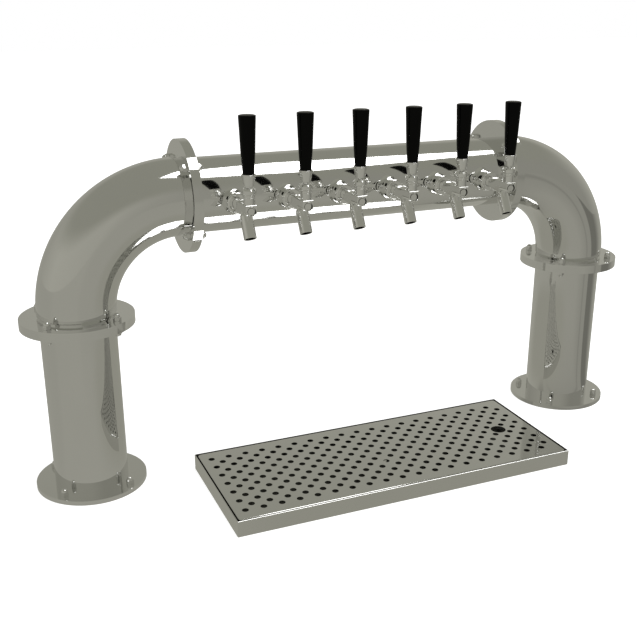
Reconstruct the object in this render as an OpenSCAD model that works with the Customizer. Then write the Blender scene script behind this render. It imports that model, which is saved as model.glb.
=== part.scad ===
// Six-tap flanged pipe bridge beer tower with a bar-top drip tray.
// Millimetres, +Z up. The origin is on the bar top, midway between the two columns.
// X runs along the beam, and the taps face -Y.

/* [Tower tube] */
// Outer diameter of the columns, elbows and beam
tube_od = 152.4; // [120:0.1:180]
// Wall of the tube
tube_wall = 3; // [2:0.1:6]
// Length of the tube in each column, between its two flanges
column_length = 344; // [250:1:600]
// Length of the tube in the beam, between its two flanges
beam_length = 712; // [590:1:1200]
// Radius of each elbow, measured to the tube's centre line
elbow_radius = 216.4; // [200:0.1:320]
// Straight length at each end of an elbow
elbow_stub = 6; // [2:0.5:30]

/* [Flanges and their fasteners] */
// How far every flange stands out round its tube
flange_rim = 38.3; // [31:0.1:50]
// Thickness of one flange plate
flange_t = 9.5; // [6:0.5:16]
// Studs in each flange joint
bolt_count = 4; // [3:1:8]
// Diameter of the studs and of the nuts' threads
bolt_d = 9.5; // [6:0.1:10]
// Extra diameter of a bolt hole over its stud
bolt_hole_play = 0.8; // [0.3:0.1:1.5]
// Width across the flats of the nuts
nut_flats = 14.3; // [13:0.1:16]
// Height of the hexagon of an acorn nut
nut_hex_h = 8; // [5:0.1:8]
// Height of the whole acorn nut, dome included
nut_h = 15; // [15:0.1:18]
// Diameter of an acorn nut's dome
nut_dome_d = 13.2; // [12.5:0.1:13.2]

/* [Taps] */
// Number of taps along the beam
tap_count = 6; // [2:2:6]
// Distance from the first and last tap to the beam's ends
tap_end_margin = 69; // [57:0.1:90]
// Distance from the beam's front to the handles' axis
tap_standoff = 105.3; // [103:0.1:115]
// How far a handle tips forward, in degrees
tap_swing = 22; // [10:1:22]

/* [Tap handle and lever] */
// Height of the lever's ball above the beam's axis
pivot_rise = 30.1; // [29.5:0.1:31]
// Diameter of the lever's ball
ball_d = 17; // [16.5:0.1:17]
// Diameter of the lever's rod above its ball
lever_d = 8; // [7:0.1:8]
// Diameter of the threaded stud at the top of the lever
stud_d = 9.4; // [8:0.1:9.8]
// Height of the ferrule's lower face above the ball's centre
ferrule_rise = 16.6; // [16.3:0.1:20]
// Height of the ferrule
ferrule_h = 22.8; // [16:0.1:30]
// Diameter of the ferrule at its lower face
ferrule_foot_d = 19.6; // [14:0.1:20]
// Diameter of the ferrule's rim
ferrule_rim_d = 27.4; // [25:0.1:30]
// Diameter of the handle at its foot
handle_foot_d = 22; // [18:0.1:22.4]
// Diameter of the handle near its top
handle_top_d = 33; // [26:0.1:40]
// Length of the handle, its hidden foot included
handle_h = 111; // [80:0.1:160]

/* [Drip tray] */
// Length of the tray
tray_l = 764.6; // [755:0.1:900]
// Depth of the tray, front to back
tray_w = 303.4; // [300:0.1:360]
// Height of the tray
tray_h = 34; // [30:0.5:50]
// Distance from the columns' axis plane to the tray's back edge
tray_setback = 41.6; // [30:0.1:120]
// Sheet thickness of the tray and of its insert
tray_wall = 1.5; // [1:0.1:2]
// Gap round the insert
insert_gap = 3.5; // [2:0.1:6]
// Radius of the insert's corners
insert_corner_r = 8; // [4:0.5:16]
// Distance between neighbouring holes in one row
hole_pitch = 38.3; // [36:0.1:39]
// Diameter of the drain holes in the insert
hole_d = 12.8; // [8:0.1:14]
// Diameter of the finger hole that lifts the insert
finger_hole_d = 33; // [25:0.5:36]
// Holes in each row
hole_columns = 19; // [9:2:19]
// Rows of holes, counting the staggered ones
hole_rows = 13; // [5:4:13]

/* [Hidden] */
$fn = 48;
// How far a cut runs past the face that it opens
cut_over = 1;
// Clearance between a soft or bought-in piece and what surrounds it
fit_gap = 0.3;
// Clearance of a slip fit inside the tap
slip_gap = 0.1;
// Clearance under a piece that rests on another
rest_gap = 0.2;

// Tower
tube_r = tube_od / 2;
tube_id = tube_od - 2 * tube_wall;
flange_od = tube_od + 2 * flange_rim;
bolt_circle_d = tube_od + flange_rim;
tap_pitch = (beam_length - 2 * tap_end_margin) / (tap_count - 1);
tap_reach = tube_r + tap_standoff;
column_x = beam_length / 2 + 2 * flange_t + elbow_stub + elbow_radius;
bend_x = column_x - elbow_radius;
column_top_z = flange_t + column_length;
elbow_foot_z = column_top_z + 2 * flange_t;
bend_z = elbow_foot_z + elbow_stub;
beam_z = bend_z + elbow_radius;
joint_x = beam_length / 2 + flange_t;
bolt_hole_d = bolt_d + bolt_hole_play;
acorn_bore_depth = 11;
nut_tip_gap = 1;
stud_overhang = flange_t + acorn_bore_depth - nut_tip_gap;

// Shanks, their collars and nuts, all measured from the beam's axis outwards
shank_d = 22.2;
shank_bore_d = 8;
shank_overhang = 10;
collar_foot_d = 51;
collar_waist_d = 42;
collar_waist_share = 0.45;
collar_face_d = 40;
collar_t = 14.8;
collar_bite = 5.2;
collar_front = tube_r + collar_t;
shank_head_d = 28.4;
shank_head_l = 15;
shank_front = collar_front + shank_head_l;
shank_hole_play = 0.4;
lock_nut_flats = 28;
lock_nut_l = 8;
lock_nut_seat_play = 0.3;
lock_nut_r = lock_nut_flats / sqrt(3);
lock_nut_front = sqrt(pow(tube_id / 2, 2) - pow(lock_nut_r, 2)) - lock_nut_seat_play;

// Coupling nut
coupling_d = 43;
coupling_l = 18;
coupling_standoff = 3;
coupling_lip = 3.5;
coupling_round = 4.2;
coupling_start = collar_front + coupling_standoff;
coupling_front = coupling_start + coupling_l;
spanner_slots = 6;
spanner_slot_w = 6.5;
spanner_slot_l = 9;
spanner_slot_depth = 2.6;

// Faucet body
tail_flange_t = 2.3;
tail_flange_d = 27.8;
neck_d = 22.8;
flare_d = 31;
flare_l = 35;
flare_start = coupling_front + coupling_standoff;
barrel_l = 14;
block_w = 22.4;
block_top = 12.5;
block_edge_r = 2.5;
block_nose = 12.5;
block_start = flare_start + flare_l;
block_front = tap_reach + block_nose;
recess_d = 18.8;
recess_depth = 3.3;
recess_disc_d = 14.4;
recess_disc_t = 1.4;
chamber_d = 19;
chamber_l = 18;
seat_reach = shank_front + chamber_l;
guide_d = 12.6;
front_wall = 3.2;
guide_end = block_front - recess_depth - front_wall;

// Spout
spout_d = 25;
spout_bore_d = 19.6;
spout_feed_d = 11;
spout_lean = 29;
spout_length = 43.3;
spout_setback = 19.8;
spout_drop = 16.9;

// Ball collar and bonnet
socket_gap = fit_gap;
collar_top_d = 19.4;
collar_top_h = 13.6;
lever_slot_w = 6.8;
lever_tip_d = 6;
lever_tail_d = 4.4;
tip_drop = 27.1;
slot_slack = 0.4;
bonnet_d = 22.6;
bonnet_bore_d = 19.7;
bonnet_ring_d = 24.8;
bonnet_groove_d = 23.2;
bonnet_cap_d = 27.2;
bonnet_top_d = 22.8;
bonnet_rim_angle = 53;
bonnet_h = 29.6;
bonnet_waist_h = 13.1;
bonnet_ring_foot = 13.8;
bonnet_ring_top = 17.6;
bonnet_groove_z = 18.6;
bonnet_cap_foot = 20.2;
bonnet_cap_shoulder = 3;
ball_r = ball_d / 2;
socket_r = ball_r + socket_gap;

// Valve shaft
disc_d = 16.8;
disc_t = 3;
stem_d = 7;
shuttle_d = 12;
shuttle_back = 7.5;
shuttle_front = 5.5;
shuttle_slot_depth = 6.5;

// Ferrule and handle
ferrule_rim_h = 2.4;
ferrule_lip = 0.4;
ferrule_cup_depth = 1.8;
handle_play = 0.2;
handle_bore_depth = 22;
handle_belly_share = 0.4;
handle_belly_d = 27.9;
handle_chest_share = 0.73;
handle_chest_d = 30.8;
handle_shoulder_h = 4.6;
handle_dome_h = 2;
handle_crown_d = 24;
stud_tip_gap = 1;

// Lines, cold block and insulation
line_od = 7.9;
line_wall = 0.8;
line_insert = 8;
line_bend_r = 20;
line_first_y = -4;
line_pitch = 12;
line_end_z = 2;
cooling_od = 9.5;
cooling_wall = 1;
cooling_rise = 18;
cooling_turn_gap = 4;
block_depth = 16;
block_nut_gap = 3.1;
block_back = lock_nut_front - lock_nut_l - block_nut_gap - block_depth;
shank_tail = block_back - shank_overhang;
block_half_h = 25;
block_end_margin = 25;
cold_block_half = (tap_count - 1) * tap_pitch / 2 + block_end_margin;
cooling_y = -(block_back + block_depth / 2);
core_d = tube_id - 2 * fit_gap;
cavity_back = line_first_y - line_od / 2 - fit_gap;
cavity_end_margin = 28;
cavity_slack = 1;
cavity_half_h = block_half_h + cavity_slack;
cavity_half = cold_block_half + cavity_end_margin;
lines_each_side = tap_count / 2;

// Drip tray
tray_floor_z = 12;
tray_y = -(tray_setback + tray_w / 2);
insert_l = tray_l - 2 * (tray_wall + insert_gap);
insert_w = tray_w - 2 * (tray_wall + insert_gap);
insert_foot_z = tray_floor_z + tray_wall + rest_gap;
finger_column = hole_columns - 2;
drain_d = 25.4;
drain_bore_d = 19;
drain_foot_z = 1;

SIDES = ["left", "right"];
TAPS = [for (k = [1:tap_count]) k];

// Helpers

function side_sign(s) = s == "left" ? -1 : 1;
function tap_x(k) = (k - (tap_count + 1) / 2) * tap_pitch;
function tap_side(k) = k <= tap_count / 2 ? -1 : 1;
function line_rank(k) = k <= tap_count / 2 ? k - 1 : tap_count - k;
function line_y(k) = line_first_y + line_rank(k) * line_pitch;

module polished() color([0.62, 0.62, 0.59]) children();
module chromed() color([0.75, 0.75, 0.74]) children();

module ring(d_out, d_in, h) {
    difference() {
        cylinder(d = d_out, h = h);
        translate([0, 0, -cut_over]) cylinder(d = d_in, h = h + 2 * cut_over);
    }
}

module bolt_places() {
    for (i = [0:bolt_count - 1])
        rotate([0, 0, (i + 0.5) * 360 / bolt_count]) translate([bolt_circle_d / 2, 0, 0]) children();
}

module at_side(sign) {
    mirror([sign < 0 ? 1 : 0, 0, 0]) children();
}

// Stands its children on the horizontal joint of a column, at the interface of the two plates
module at_column_joint() {
    translate([column_x, 0, column_top_z + flange_t]) children();
}

// Turns +Z of its children towards the elbow, at the interface of the two upright plates
module at_beam_joint() {
    translate([joint_x, 0, beam_z]) rotate([0, 90, 0]) children();
}

module at_tap(k) {
    translate([tap_x(k), 0, beam_z]) children();
}

// Lays +Z of its children along the tap, outwards from the beam's axis
module along_tap(reach) {
    rotate([90, 0, 0]) translate([0, 0, reach]) children();
}

module at_pivot() {
    translate([0, -tap_reach, pivot_rise]) children();
}

// Flanges and tubes

module flange_plate() {
    difference() {
        cylinder(d = flange_od, h = flange_t);
        translate([0, 0, -cut_over]) cylinder(d = tube_id, h = flange_t + 2 * cut_over);
        bolt_places() translate([0, 0, -cut_over]) cylinder(d = bolt_hole_d, h = flange_t + 2 * cut_over);
    }
}

module base_flange(sign) {
    polished() at_side(sign) translate([column_x, 0, 0]) flange_plate();
}

module column(sign) {
    polished() at_side(sign) translate([column_x, 0, flange_t]) ring(tube_od, tube_id, column_length);
}

module column_flange(sign) {
    polished() at_side(sign) at_column_joint() translate([0, 0, -flange_t]) flange_plate();
}

module elbow_lower_flange(sign) {
    polished() at_side(sign) at_column_joint() flange_plate();
}

module elbow_upper_flange(sign) {
    polished() at_side(sign) at_beam_joint() flange_plate();
}

module beam_flange(sign) {
    polished() at_side(sign) at_beam_joint() translate([0, 0, -flange_t]) flange_plate();
}

// Sweeps a flat shape round the right elbow. The shape's X points away from the bend's centre
// and its Y points to the back.
module elbow_sweep() {
    translate([bend_x, 0, bend_z]) rotate([90, 0, 0])
        rotate_extrude(angle = 90) translate([elbow_radius, 0]) mirror([0, 1]) children();
}

// Carries the same flat shape straight down the right column from the bend
module drop_sweep(length) {
    translate([column_x, 0, bend_z - length]) linear_extrude(length) children();
}

// Carries the same flat shape from the right bend towards the middle of the beam
module beam_sweep(length) {
    translate([bend_x, 0, beam_z]) rotate([0, -90, 0]) linear_extrude(length) children();
}

module tube_shape(d_out, d_in) {
    difference() {
        circle(d = d_out);
        circle(d = d_in);
    }
}

module elbow(sign) {
    polished() at_side(sign) {
        drop_sweep(elbow_stub) tube_shape(tube_od, tube_id);
        elbow_sweep() tube_shape(tube_od, tube_id);
        beam_sweep(elbow_stub) tube_shape(tube_od, tube_id);
    }
}

module beam() {
    polished() difference() {
        translate([-beam_length / 2, 0, beam_z]) rotate([0, 90, 0]) ring(tube_od, tube_id, beam_length);
        for (k = TAPS)
            at_tap(k) along_tap(shank_tail) cylinder(d = shank_d + shank_hole_play, h = tube_r);
    }
}

// Fasteners of the flange joints

module hexagon(flats, h) {
    cylinder(r = flats / sqrt(3), h = h, $fn = 6);
}

// An acorn nut that stands on Z = 0
module acorn_nut() {
    dome_r = nut_dome_d / 2;
    difference() {
        union() {
            hexagon(nut_flats, nut_hex_h);
            cylinder(r = dome_r, h = nut_h - dome_r);
            translate([0, 0, nut_h - dome_r]) sphere(r = dome_r);
        }
        translate([0, 0, -cut_over]) cylinder(d = bolt_d + 2 * slip_gap, h = acorn_bore_depth + cut_over);
    }
}

// A stud through both flanges of a joint, whose ends lie inside the nuts
module joint_stud() {
    translate([0, 0, -stud_overhang]) cylinder(d = bolt_d, h = 2 * stud_overhang);
}

module joint_studs() {
    polished() for (sign = [-1, 1]) at_side(sign) {
        at_column_joint() bolt_places() joint_stud();
        at_beam_joint() bolt_places() joint_stud();
    }
}

// An acorn nut on either side of a joint
module nut_pair() {
    for (way = [0, 1]) mirror([0, 0, way]) translate([0, 0, flange_t]) acorn_nut();
}

module acorn_nuts() {
    chromed() for (sign = [-1, 1]) at_side(sign) {
        translate([column_x, 0, flange_t]) bolt_places() acorn_nut();
        at_column_joint() bolt_places() nut_pair();
        at_beam_joint() bolt_places() nut_pair();
    }
}

// Shanks through the beam's front wall

module shank(k) {
    at_tap(k) difference() {
        union() {
            along_tap(shank_tail) cylinder(d = shank_d, h = collar_front - shank_tail);
            along_tap(collar_front) cylinder(d = shank_head_d, h = shank_head_l);
        }
        along_tap(shank_tail - cut_over)
            cylinder(d = shank_bore_d, h = shank_front - shank_tail + 2 * cut_over);
    }
}

module shanks() {
    chromed() for (k = TAPS) shank(k);
}

// A bell-shaped collar, before its back is hollowed
module shank_collar() {
    collar_l = collar_t + collar_bite;
    difference() {
        rotate_extrude() polygon([
            [0, 0],
            [collar_foot_d / 2, 0],
            [collar_waist_d / 2, collar_waist_share * collar_l],
            [collar_face_d / 2, collar_l],
            [0, collar_l]
        ]);
        translate([0, 0, -cut_over])
            cylinder(d = shank_d + shank_hole_play, h = collar_l + 2 * cut_over);
    }
}

// Each collar's back is hollowed to sit on the round beam
module shank_collars() {
    chromed() difference() {
        for (k = TAPS)
            at_tap(k) along_tap(tube_r - collar_bite) shank_collar();
        translate([-beam_length / 2, 0, beam_z]) rotate([0, 90, 0])
            cylinder(d = tube_od + slip_gap, h = beam_length);
    }
}

module shank_lock_nuts() {
    chromed() for (k = TAPS)
        at_tap(k) along_tap(lock_nut_front - lock_nut_l) difference() {
            hexagon(lock_nut_flats, lock_nut_l);
            translate([0, 0, -cut_over])
                cylinder(d = shank_d + 2 * slip_gap, h = lock_nut_l + 2 * cut_over);
        }
}

module coupling_nut() {
    bore_l = coupling_l - coupling_lip;
    difference() {
        rotate_extrude() {
            square([coupling_d / 2, coupling_l - coupling_round]);
            square([coupling_d / 2 - coupling_round, coupling_l]);
            translate([coupling_d / 2 - coupling_round, coupling_l - coupling_round])
                intersection() {
                    circle(r = coupling_round);
                    square(coupling_round);
                }
        }
        translate([0, 0, -cut_over]) cylinder(d = shank_head_d + 2 * slip_gap, h = bore_l + cut_over);
        translate([0, 0, -cut_over]) cylinder(d = neck_d + 2 * fit_gap, h = coupling_l + 2 * cut_over);
        for (i = [0:spanner_slots - 1])
            rotate([0, 0, (i + 0.5) * 360 / spanner_slots])
                translate([
                    coupling_d / 2 - spanner_slot_depth,
                    -spanner_slot_w / 2,
                    (coupling_l - spanner_slot_l) / 2
                ])
                    cube([spanner_slot_depth + cut_over, spanner_slot_w, spanner_slot_l]);
    }
}

module coupling_nuts() {
    chromed() for (k = TAPS) at_tap(k) along_tap(coupling_start) coupling_nut();
}

// Faucet body: the flat outline of its forged block, seen from the front
module block_outline() {
    half = block_w / 2;
    circle(r = half);
    translate([-half, 0]) square([block_w, block_top - block_edge_r]);
    translate([-(half - block_edge_r), 0]) square([block_w - 2 * block_edge_r, block_top]);
    for (x = [-1, 1])
        translate([x * (half - block_edge_r), block_top - block_edge_r]) circle(r = block_edge_r);
}

// Places its children at the top of the spout, with +Z down its sloping axis
module at_spout() {
    translate([0, -(tap_reach - spout_setback), -spout_drop]) rotate([180 - spout_lean, 0, 0]) children();
}

// Clears the way that the lever's tail sweeps as it tips, from the valve bore to the ball
module lever_way() {
    tail_half = lever_tip_d / 2 / cos(tap_swing) + slot_slack;
    front = tap_reach + lever_slot_w / 2;
    way_top = block_top + collar_top_h;
    back_low = tap_reach - pivot_rise * tan(tap_swing) - tail_half;
    back_high = tap_reach - (pivot_rise - way_top) * tan(tap_swing) - tail_half;
    translate([-lever_slot_w / 2, 0, 0]) rotate([90, 0, 90]) linear_extrude(lever_slot_w)
        polygon([[-front, 0], [-back_low, 0], [-back_high, way_top], [-front, way_top]]);
}

module faucet_body_solid() {
    along_tap(shank_front) cylinder(d = tail_flange_d, h = tail_flange_t);
    along_tap(shank_front) cylinder(d = neck_d, h = flare_start - shank_front);
    intersection() {
        union() {
            along_tap(flare_start) cylinder(d1 = neck_d, d2 = flare_d, h = flare_l);
            along_tap(block_start) cylinder(d = flare_d, h = barrel_l);
        }
        translate([-block_w / 2, -tap_reach, -flare_d])
            cube([block_w, tap_reach, 2 * flare_d]);
    }
    along_tap(block_start) linear_extrude(block_front - block_start) block_outline();
    at_spout() sphere(d = spout_d);
    at_spout() cylinder(d = spout_d, h = spout_length);
    translate([0, -tap_reach, 0]) cylinder(d = collar_top_d, h = block_top + collar_top_h);
}

module faucet_body(k) {
    chromed() at_tap(k) difference() {
        faucet_body_solid();
        along_tap(shank_front - cut_over) cylinder(d = chamber_d, h = chamber_l + cut_over);
        along_tap(seat_reach - cut_over) cylinder(d = guide_d, h = guide_end - seat_reach + cut_over);
        along_tap(block_front - recess_depth) difference() {
            cylinder(d = recess_d, h = recess_depth + cut_over);
            translate([0, 0, -cut_over]) cylinder(d = recess_disc_d, h = recess_disc_t + cut_over);
        }
        at_spout() cylinder(d = spout_bore_d, h = spout_length + cut_over);
        at_spout() mirror([0, 0, 1]) cylinder(d = spout_feed_d, h = spout_drop);
        lever_way();
        at_pivot() sphere(r = socket_r);
    }
}

// Bonnet: a turned nut that holds the lever's ball down in its socket
module bonnet() {
    rim_r = socket_r * sin(bonnet_rim_angle);
    ball_z = pivot_rise - block_top;
    rim_z = ball_z + socket_r * cos(bonnet_rim_angle);
    mouth_r = (bonnet_h - ball_z) * tan(tap_swing) + lever_d / 2 / cos(tap_swing) + slot_slack;
    difference() {
        rotate_extrude() polygon([
            [0, 0],
            [bonnet_d / 2, 0],
            [bonnet_d / 2, bonnet_waist_h],
            [bonnet_ring_d / 2, bonnet_ring_foot],
            [bonnet_ring_d / 2, bonnet_ring_top],
            [bonnet_groove_d / 2, bonnet_groove_z],
            [bonnet_cap_d / 2, bonnet_cap_foot],
            [bonnet_cap_d / 2, bonnet_h - bonnet_cap_shoulder],
            [bonnet_top_d / 2, bonnet_h],
            [0, bonnet_h]
        ]);
        translate([0, 0, -cut_over]) cylinder(d = bonnet_bore_d, h = ball_z + cut_over);
        translate([0, 0, ball_z]) sphere(r = socket_r);
        translate([0, 0, rim_z]) cylinder(r1 = rim_r, r2 = mouth_r, h = bonnet_h - rim_z);
        translate([0, 0, bonnet_h]) cylinder(r = mouth_r, h = cut_over);
    }
}

module bonnet_nuts() {
    chromed() for (k = TAPS) at_tap(k) translate([0, -tap_reach, block_top]) bonnet();
}

// Valve shaft: a seat disc on a stem, with a slotted shuttle that the lever's tip pushes back
module valve_shaft(k) {
    color([0.70, 0.70, 0.68]) at_tap(k) difference() {
        union() {
            along_tap(seat_reach - disc_t - fit_gap) cylinder(d = disc_d, h = disc_t);
            along_tap(seat_reach - disc_t - fit_gap)
                cylinder(d = stem_d, h = tap_reach - seat_reach + disc_t + fit_gap);
            along_tap(tap_reach - shuttle_back) cylinder(d = shuttle_d, h = shuttle_back + shuttle_front);
        }
        translate([
            -shuttle_d / 2,
            -(tap_reach + lever_slot_w / 2),
            shuttle_d / 2 - shuttle_slot_depth
        ])
            cube([shuttle_d, lever_slot_w, shuttle_slot_depth + cut_over]);
    }
}

// Lever: a ball with a tail and tip below and a threaded stud above, in the ball's own frame
module lever(k) {
    handle_floor = ferrule_rise + ferrule_h - ferrule_cup_depth;
    chromed() at_tap(k) at_pivot() {
        sphere(d = ball_d);
        translate([0, 0, -tip_drop]) sphere(d = lever_tip_d);
        translate([0, 0, -tip_drop]) cylinder(d = lever_tail_d, h = tip_drop);
        cylinder(d = lever_d, h = ferrule_rise);
        translate([0, 0, ferrule_rise])
            cylinder(d = stud_d, h = handle_floor - ferrule_rise + handle_bore_depth - stud_tip_gap);
    }
}

module ferrule(k) {
    chromed() at_tap(k) at_pivot() translate([0, 0, ferrule_rise]) difference() {
        rotate_extrude() polygon([
            [0, 0],
            [ferrule_foot_d / 2, 0],
            [ferrule_rim_d / 2 - ferrule_lip, ferrule_h - ferrule_rim_h],
            [ferrule_rim_d / 2, ferrule_h - ferrule_rim_h],
            [ferrule_rim_d / 2, ferrule_h - ferrule_lip],
            [ferrule_rim_d / 2 - ferrule_lip, ferrule_h],
            [0, ferrule_h]
        ]);
        translate([0, 0, -cut_over]) cylinder(d = stud_d + 2 * slip_gap, h = ferrule_h + 2 * cut_over);
        translate([0, 0, ferrule_h - ferrule_cup_depth])
            cylinder(d = handle_foot_d + 2 * handle_play, h = ferrule_cup_depth + cut_over);
    }
}

module tap_handle(k) {
    foot = ferrule_rise + ferrule_h - ferrule_cup_depth;
    color([0.05, 0.05, 0.05]) at_tap(k) at_pivot() translate([0, 0, foot]) difference() {
        rotate_extrude() polygon([
            [0, 0],
            [handle_foot_d / 2, 0],
            [handle_foot_d / 2, ferrule_cup_depth],
            [handle_belly_d / 2, handle_belly_share * handle_h],
            [handle_chest_d / 2, handle_chest_share * handle_h],
            [handle_top_d / 2, handle_h - handle_shoulder_h],
            [handle_top_d / 2, handle_h - handle_dome_h],
            [handle_crown_d / 2, handle_h],
            [0, handle_h]
        ]);
        translate([0, 0, -cut_over]) cylinder(d = stud_d + 2 * slip_gap, h = handle_bore_depth + cut_over);
    }
}

// Lines inside the tower

module beer_line_way(k, d, extra) {
    sign = tap_side(k);
    start = shank_tail + line_insert + extra;
    straight = start + line_y(k) - line_bend_r;
    run = bend_x - abs(tap_x(k)) - line_bend_r;
    at_side(sign) {
        translate([abs(tap_x(k)), -start, beam_z]) rotate([-90, 0, 0]) cylinder(d = d, h = straight);
        translate([abs(tap_x(k)) + line_bend_r, line_y(k) - line_bend_r, beam_z]) mirror([1, 0, 0])
            rotate_extrude(angle = 90) translate([line_bend_r, 0]) circle(d = d);
        beam_sweep(run) translate([0, line_y(k)]) circle(d = d);
        elbow_sweep() translate([0, line_y(k)]) circle(d = d);
        drop_sweep(bend_z - line_end_z + extra) translate([0, line_y(k)]) circle(d = d);
    }
}

module beer_lines() {
    color([0.72, 0.72, 0.70]) for (k = TAPS) difference() {
        beer_line_way(k, line_od, 0);
        beer_line_way(k, line_od - 2 * line_wall, cut_over);
    }
}

// The cooling line climbs the left column, runs through the cold block, turns and comes back
module cooling_way(d, extra) {
    turn_x = cold_block_half + cooling_turn_gap;
    mirror([1, 0, 0]) for (rise = [-cooling_rise, cooling_rise]) {
        drop_sweep(bend_z - line_end_z + extra) translate([rise, cooling_y]) circle(d = d);
        elbow_sweep() translate([rise, cooling_y]) circle(d = d);
        beam_sweep(bend_x + turn_x) translate([rise, cooling_y]) circle(d = d);
    }
    translate([turn_x, cooling_y, beam_z]) rotate([90, 0, 0]) rotate([0, 0, -90])
        rotate_extrude(angle = 180) translate([cooling_rise, 0]) circle(d = d);
}

module cooling_line() {
    color([0.72, 0.45, 0.30]) difference() {
        cooling_way(cooling_od, 0);
        cooling_way(cooling_od - 2 * cooling_wall, cut_over);
    }
}

module cold_block() {
    color([0.80, 0.80, 0.82]) difference() {
        translate([-cold_block_half, -(block_back + block_depth), beam_z - block_half_h])
            cube([2 * cold_block_half, block_depth, 2 * block_half_h]);
        for (k = TAPS)
            at_tap(k) along_tap(block_back - cut_over)
                cylinder(d = shank_d + 2 * slip_gap, h = block_depth + 2 * cut_over);
        for (rise = [-cooling_rise, cooling_rise])
            translate([-cold_block_half - cut_over, cooling_y, beam_z + rise]) rotate([0, 90, 0])
                cylinder(d = cooling_od + 2 * slip_gap, h = 2 * (cold_block_half + cut_over));
    }
}

// Cut across the foam core, with the slot that the beer lines lie in
module core_shape(with_cooling) {
    slot_w = line_od + 2 * fit_gap;
    slot_l = (lines_each_side - 1) * line_pitch + slot_w;
    difference() {
        circle(d = core_d);
        translate([-slot_w / 2, line_first_y - slot_w / 2]) square([slot_w, slot_l]);
        if (with_cooling)
            for (rise = [-cooling_rise, cooling_rise])
                translate([rise, cooling_y]) circle(d = cooling_od + 2 * fit_gap);
    }
}

module column_insulation() {
    color([0.90, 0.86, 0.66]) for (sign = [-1, 1]) at_side(sign) {
        drop_sweep(bend_z - line_end_z) core_shape(sign < 0);
        elbow_sweep() core_shape(sign < 0);
        beam_sweep(bend_x - joint_x) core_shape(sign < 0);
    }
}

module beam_insulation() {
    core_l = 2 * (joint_x - rest_gap);
    color([0.90, 0.86, 0.66]) difference() {
        translate([-core_l / 2, 0, beam_z]) rotate([0, 90, 0]) linear_extrude(core_l)
            core_shape(false);
        translate([-cavity_half, -tube_r, beam_z - cavity_half_h])
            cube([2 * cavity_half, tube_r + cavity_back, 2 * cavity_half_h]);
        for (rise = [-cooling_rise, cooling_rise])
            translate([-joint_x, cooling_y, beam_z + rise]) rotate([0, 90, 0])
                cylinder(d = cooling_od + 2 * fit_gap, h = joint_x);
    }
}

// Drip tray

module rounded_plate(l, w, r, h) {
    linear_extrude(h) {
        square([l - 2 * r, w], center = true);
        square([l, w - 2 * r], center = true);
        for (x = [-1, 1], y = [-1, 1])
            translate([x * (l / 2 - r), y * (w / 2 - r)]) circle(r = r);
    }
}

// Places its children at each drain hole. Every second row is shifted by half a pitch.
module hole_places() {
    row_pitch = hole_pitch / 2;
    shift = hole_pitch / 4;
    for (row = [0:hole_rows - 1], col = [0:hole_columns - 1])
        if (!(row == (hole_rows - 1) / 2 && col == finger_column))
            translate([
                (col - (hole_columns - 1) / 2) * hole_pitch + (row % 2 == 0 ? -shift : shift),
                (row - (hole_rows - 1) / 2) * row_pitch
            ])
                children();
}

module tray_pan() {
    polished() translate([0, tray_y, 0]) difference() {
        union() {
            difference() {
                translate([-tray_l / 2, -tray_w / 2, 0]) cube([tray_l, tray_w, tray_h]);
                translate([-tray_l / 2 + tray_wall, -tray_w / 2 + tray_wall, tray_floor_z + tray_wall])
                    cube([tray_l - 2 * tray_wall, tray_w - 2 * tray_wall, tray_h]);
                translate([-tray_l / 2 + tray_wall, -tray_w / 2 + tray_wall, -cut_over])
                    cube([tray_l - 2 * tray_wall, tray_w - 2 * tray_wall, tray_floor_z + cut_over]);
            }
            translate([0, 0, drain_foot_z]) cylinder(d = drain_d, h = tray_floor_z - drain_foot_z);
        }
        cylinder(d = drain_bore_d, h = tray_h);
    }
}

module tray_insert() {
    finger_x = (finger_column - (hole_columns - 1) / 2) * hole_pitch - hole_pitch / 4;
    skirt_h = tray_h - insert_foot_z;
    polished() translate([0, tray_y, insert_foot_z]) difference() {
        rounded_plate(insert_l, insert_w, insert_corner_r, skirt_h);
        translate([0, 0, -cut_over])
            rounded_plate(
                insert_l - 2 * tray_wall,
                insert_w - 2 * tray_wall,
                insert_corner_r - tray_wall,
                skirt_h - tray_wall + cut_over
            );
        translate([0, 0, -cut_over]) linear_extrude(skirt_h + 2 * cut_over) {
            hole_places() circle(d = hole_d);
            translate([finger_x, 0]) circle(d = finger_hole_d);
        }
    }
}

for (s = SIDES) {
    base_flange(side_sign(s));
    column(side_sign(s));
    column_flange(side_sign(s));
    elbow_lower_flange(side_sign(s));
    elbow(side_sign(s));
    elbow_upper_flange(side_sign(s));
    beam_flange(side_sign(s));
}
beam();
for (k = TAPS) {
    faucet_body(k);
    valve_shaft(k);
    lever(k);
    ferrule(k);
    tap_handle(k);
}
bonnet_nuts();
coupling_nuts();
shanks();
shank_collars();
shank_lock_nuts();
cold_block();
beer_lines();
cooling_line();
column_insulation();
beam_insulation();
joint_studs();
acorn_nuts();
tray_pan();
tray_insert();
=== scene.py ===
"""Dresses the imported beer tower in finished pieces, materials, a studio and a camera."""
import math

import bpy
from mathutils import Matrix, Vector


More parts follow.
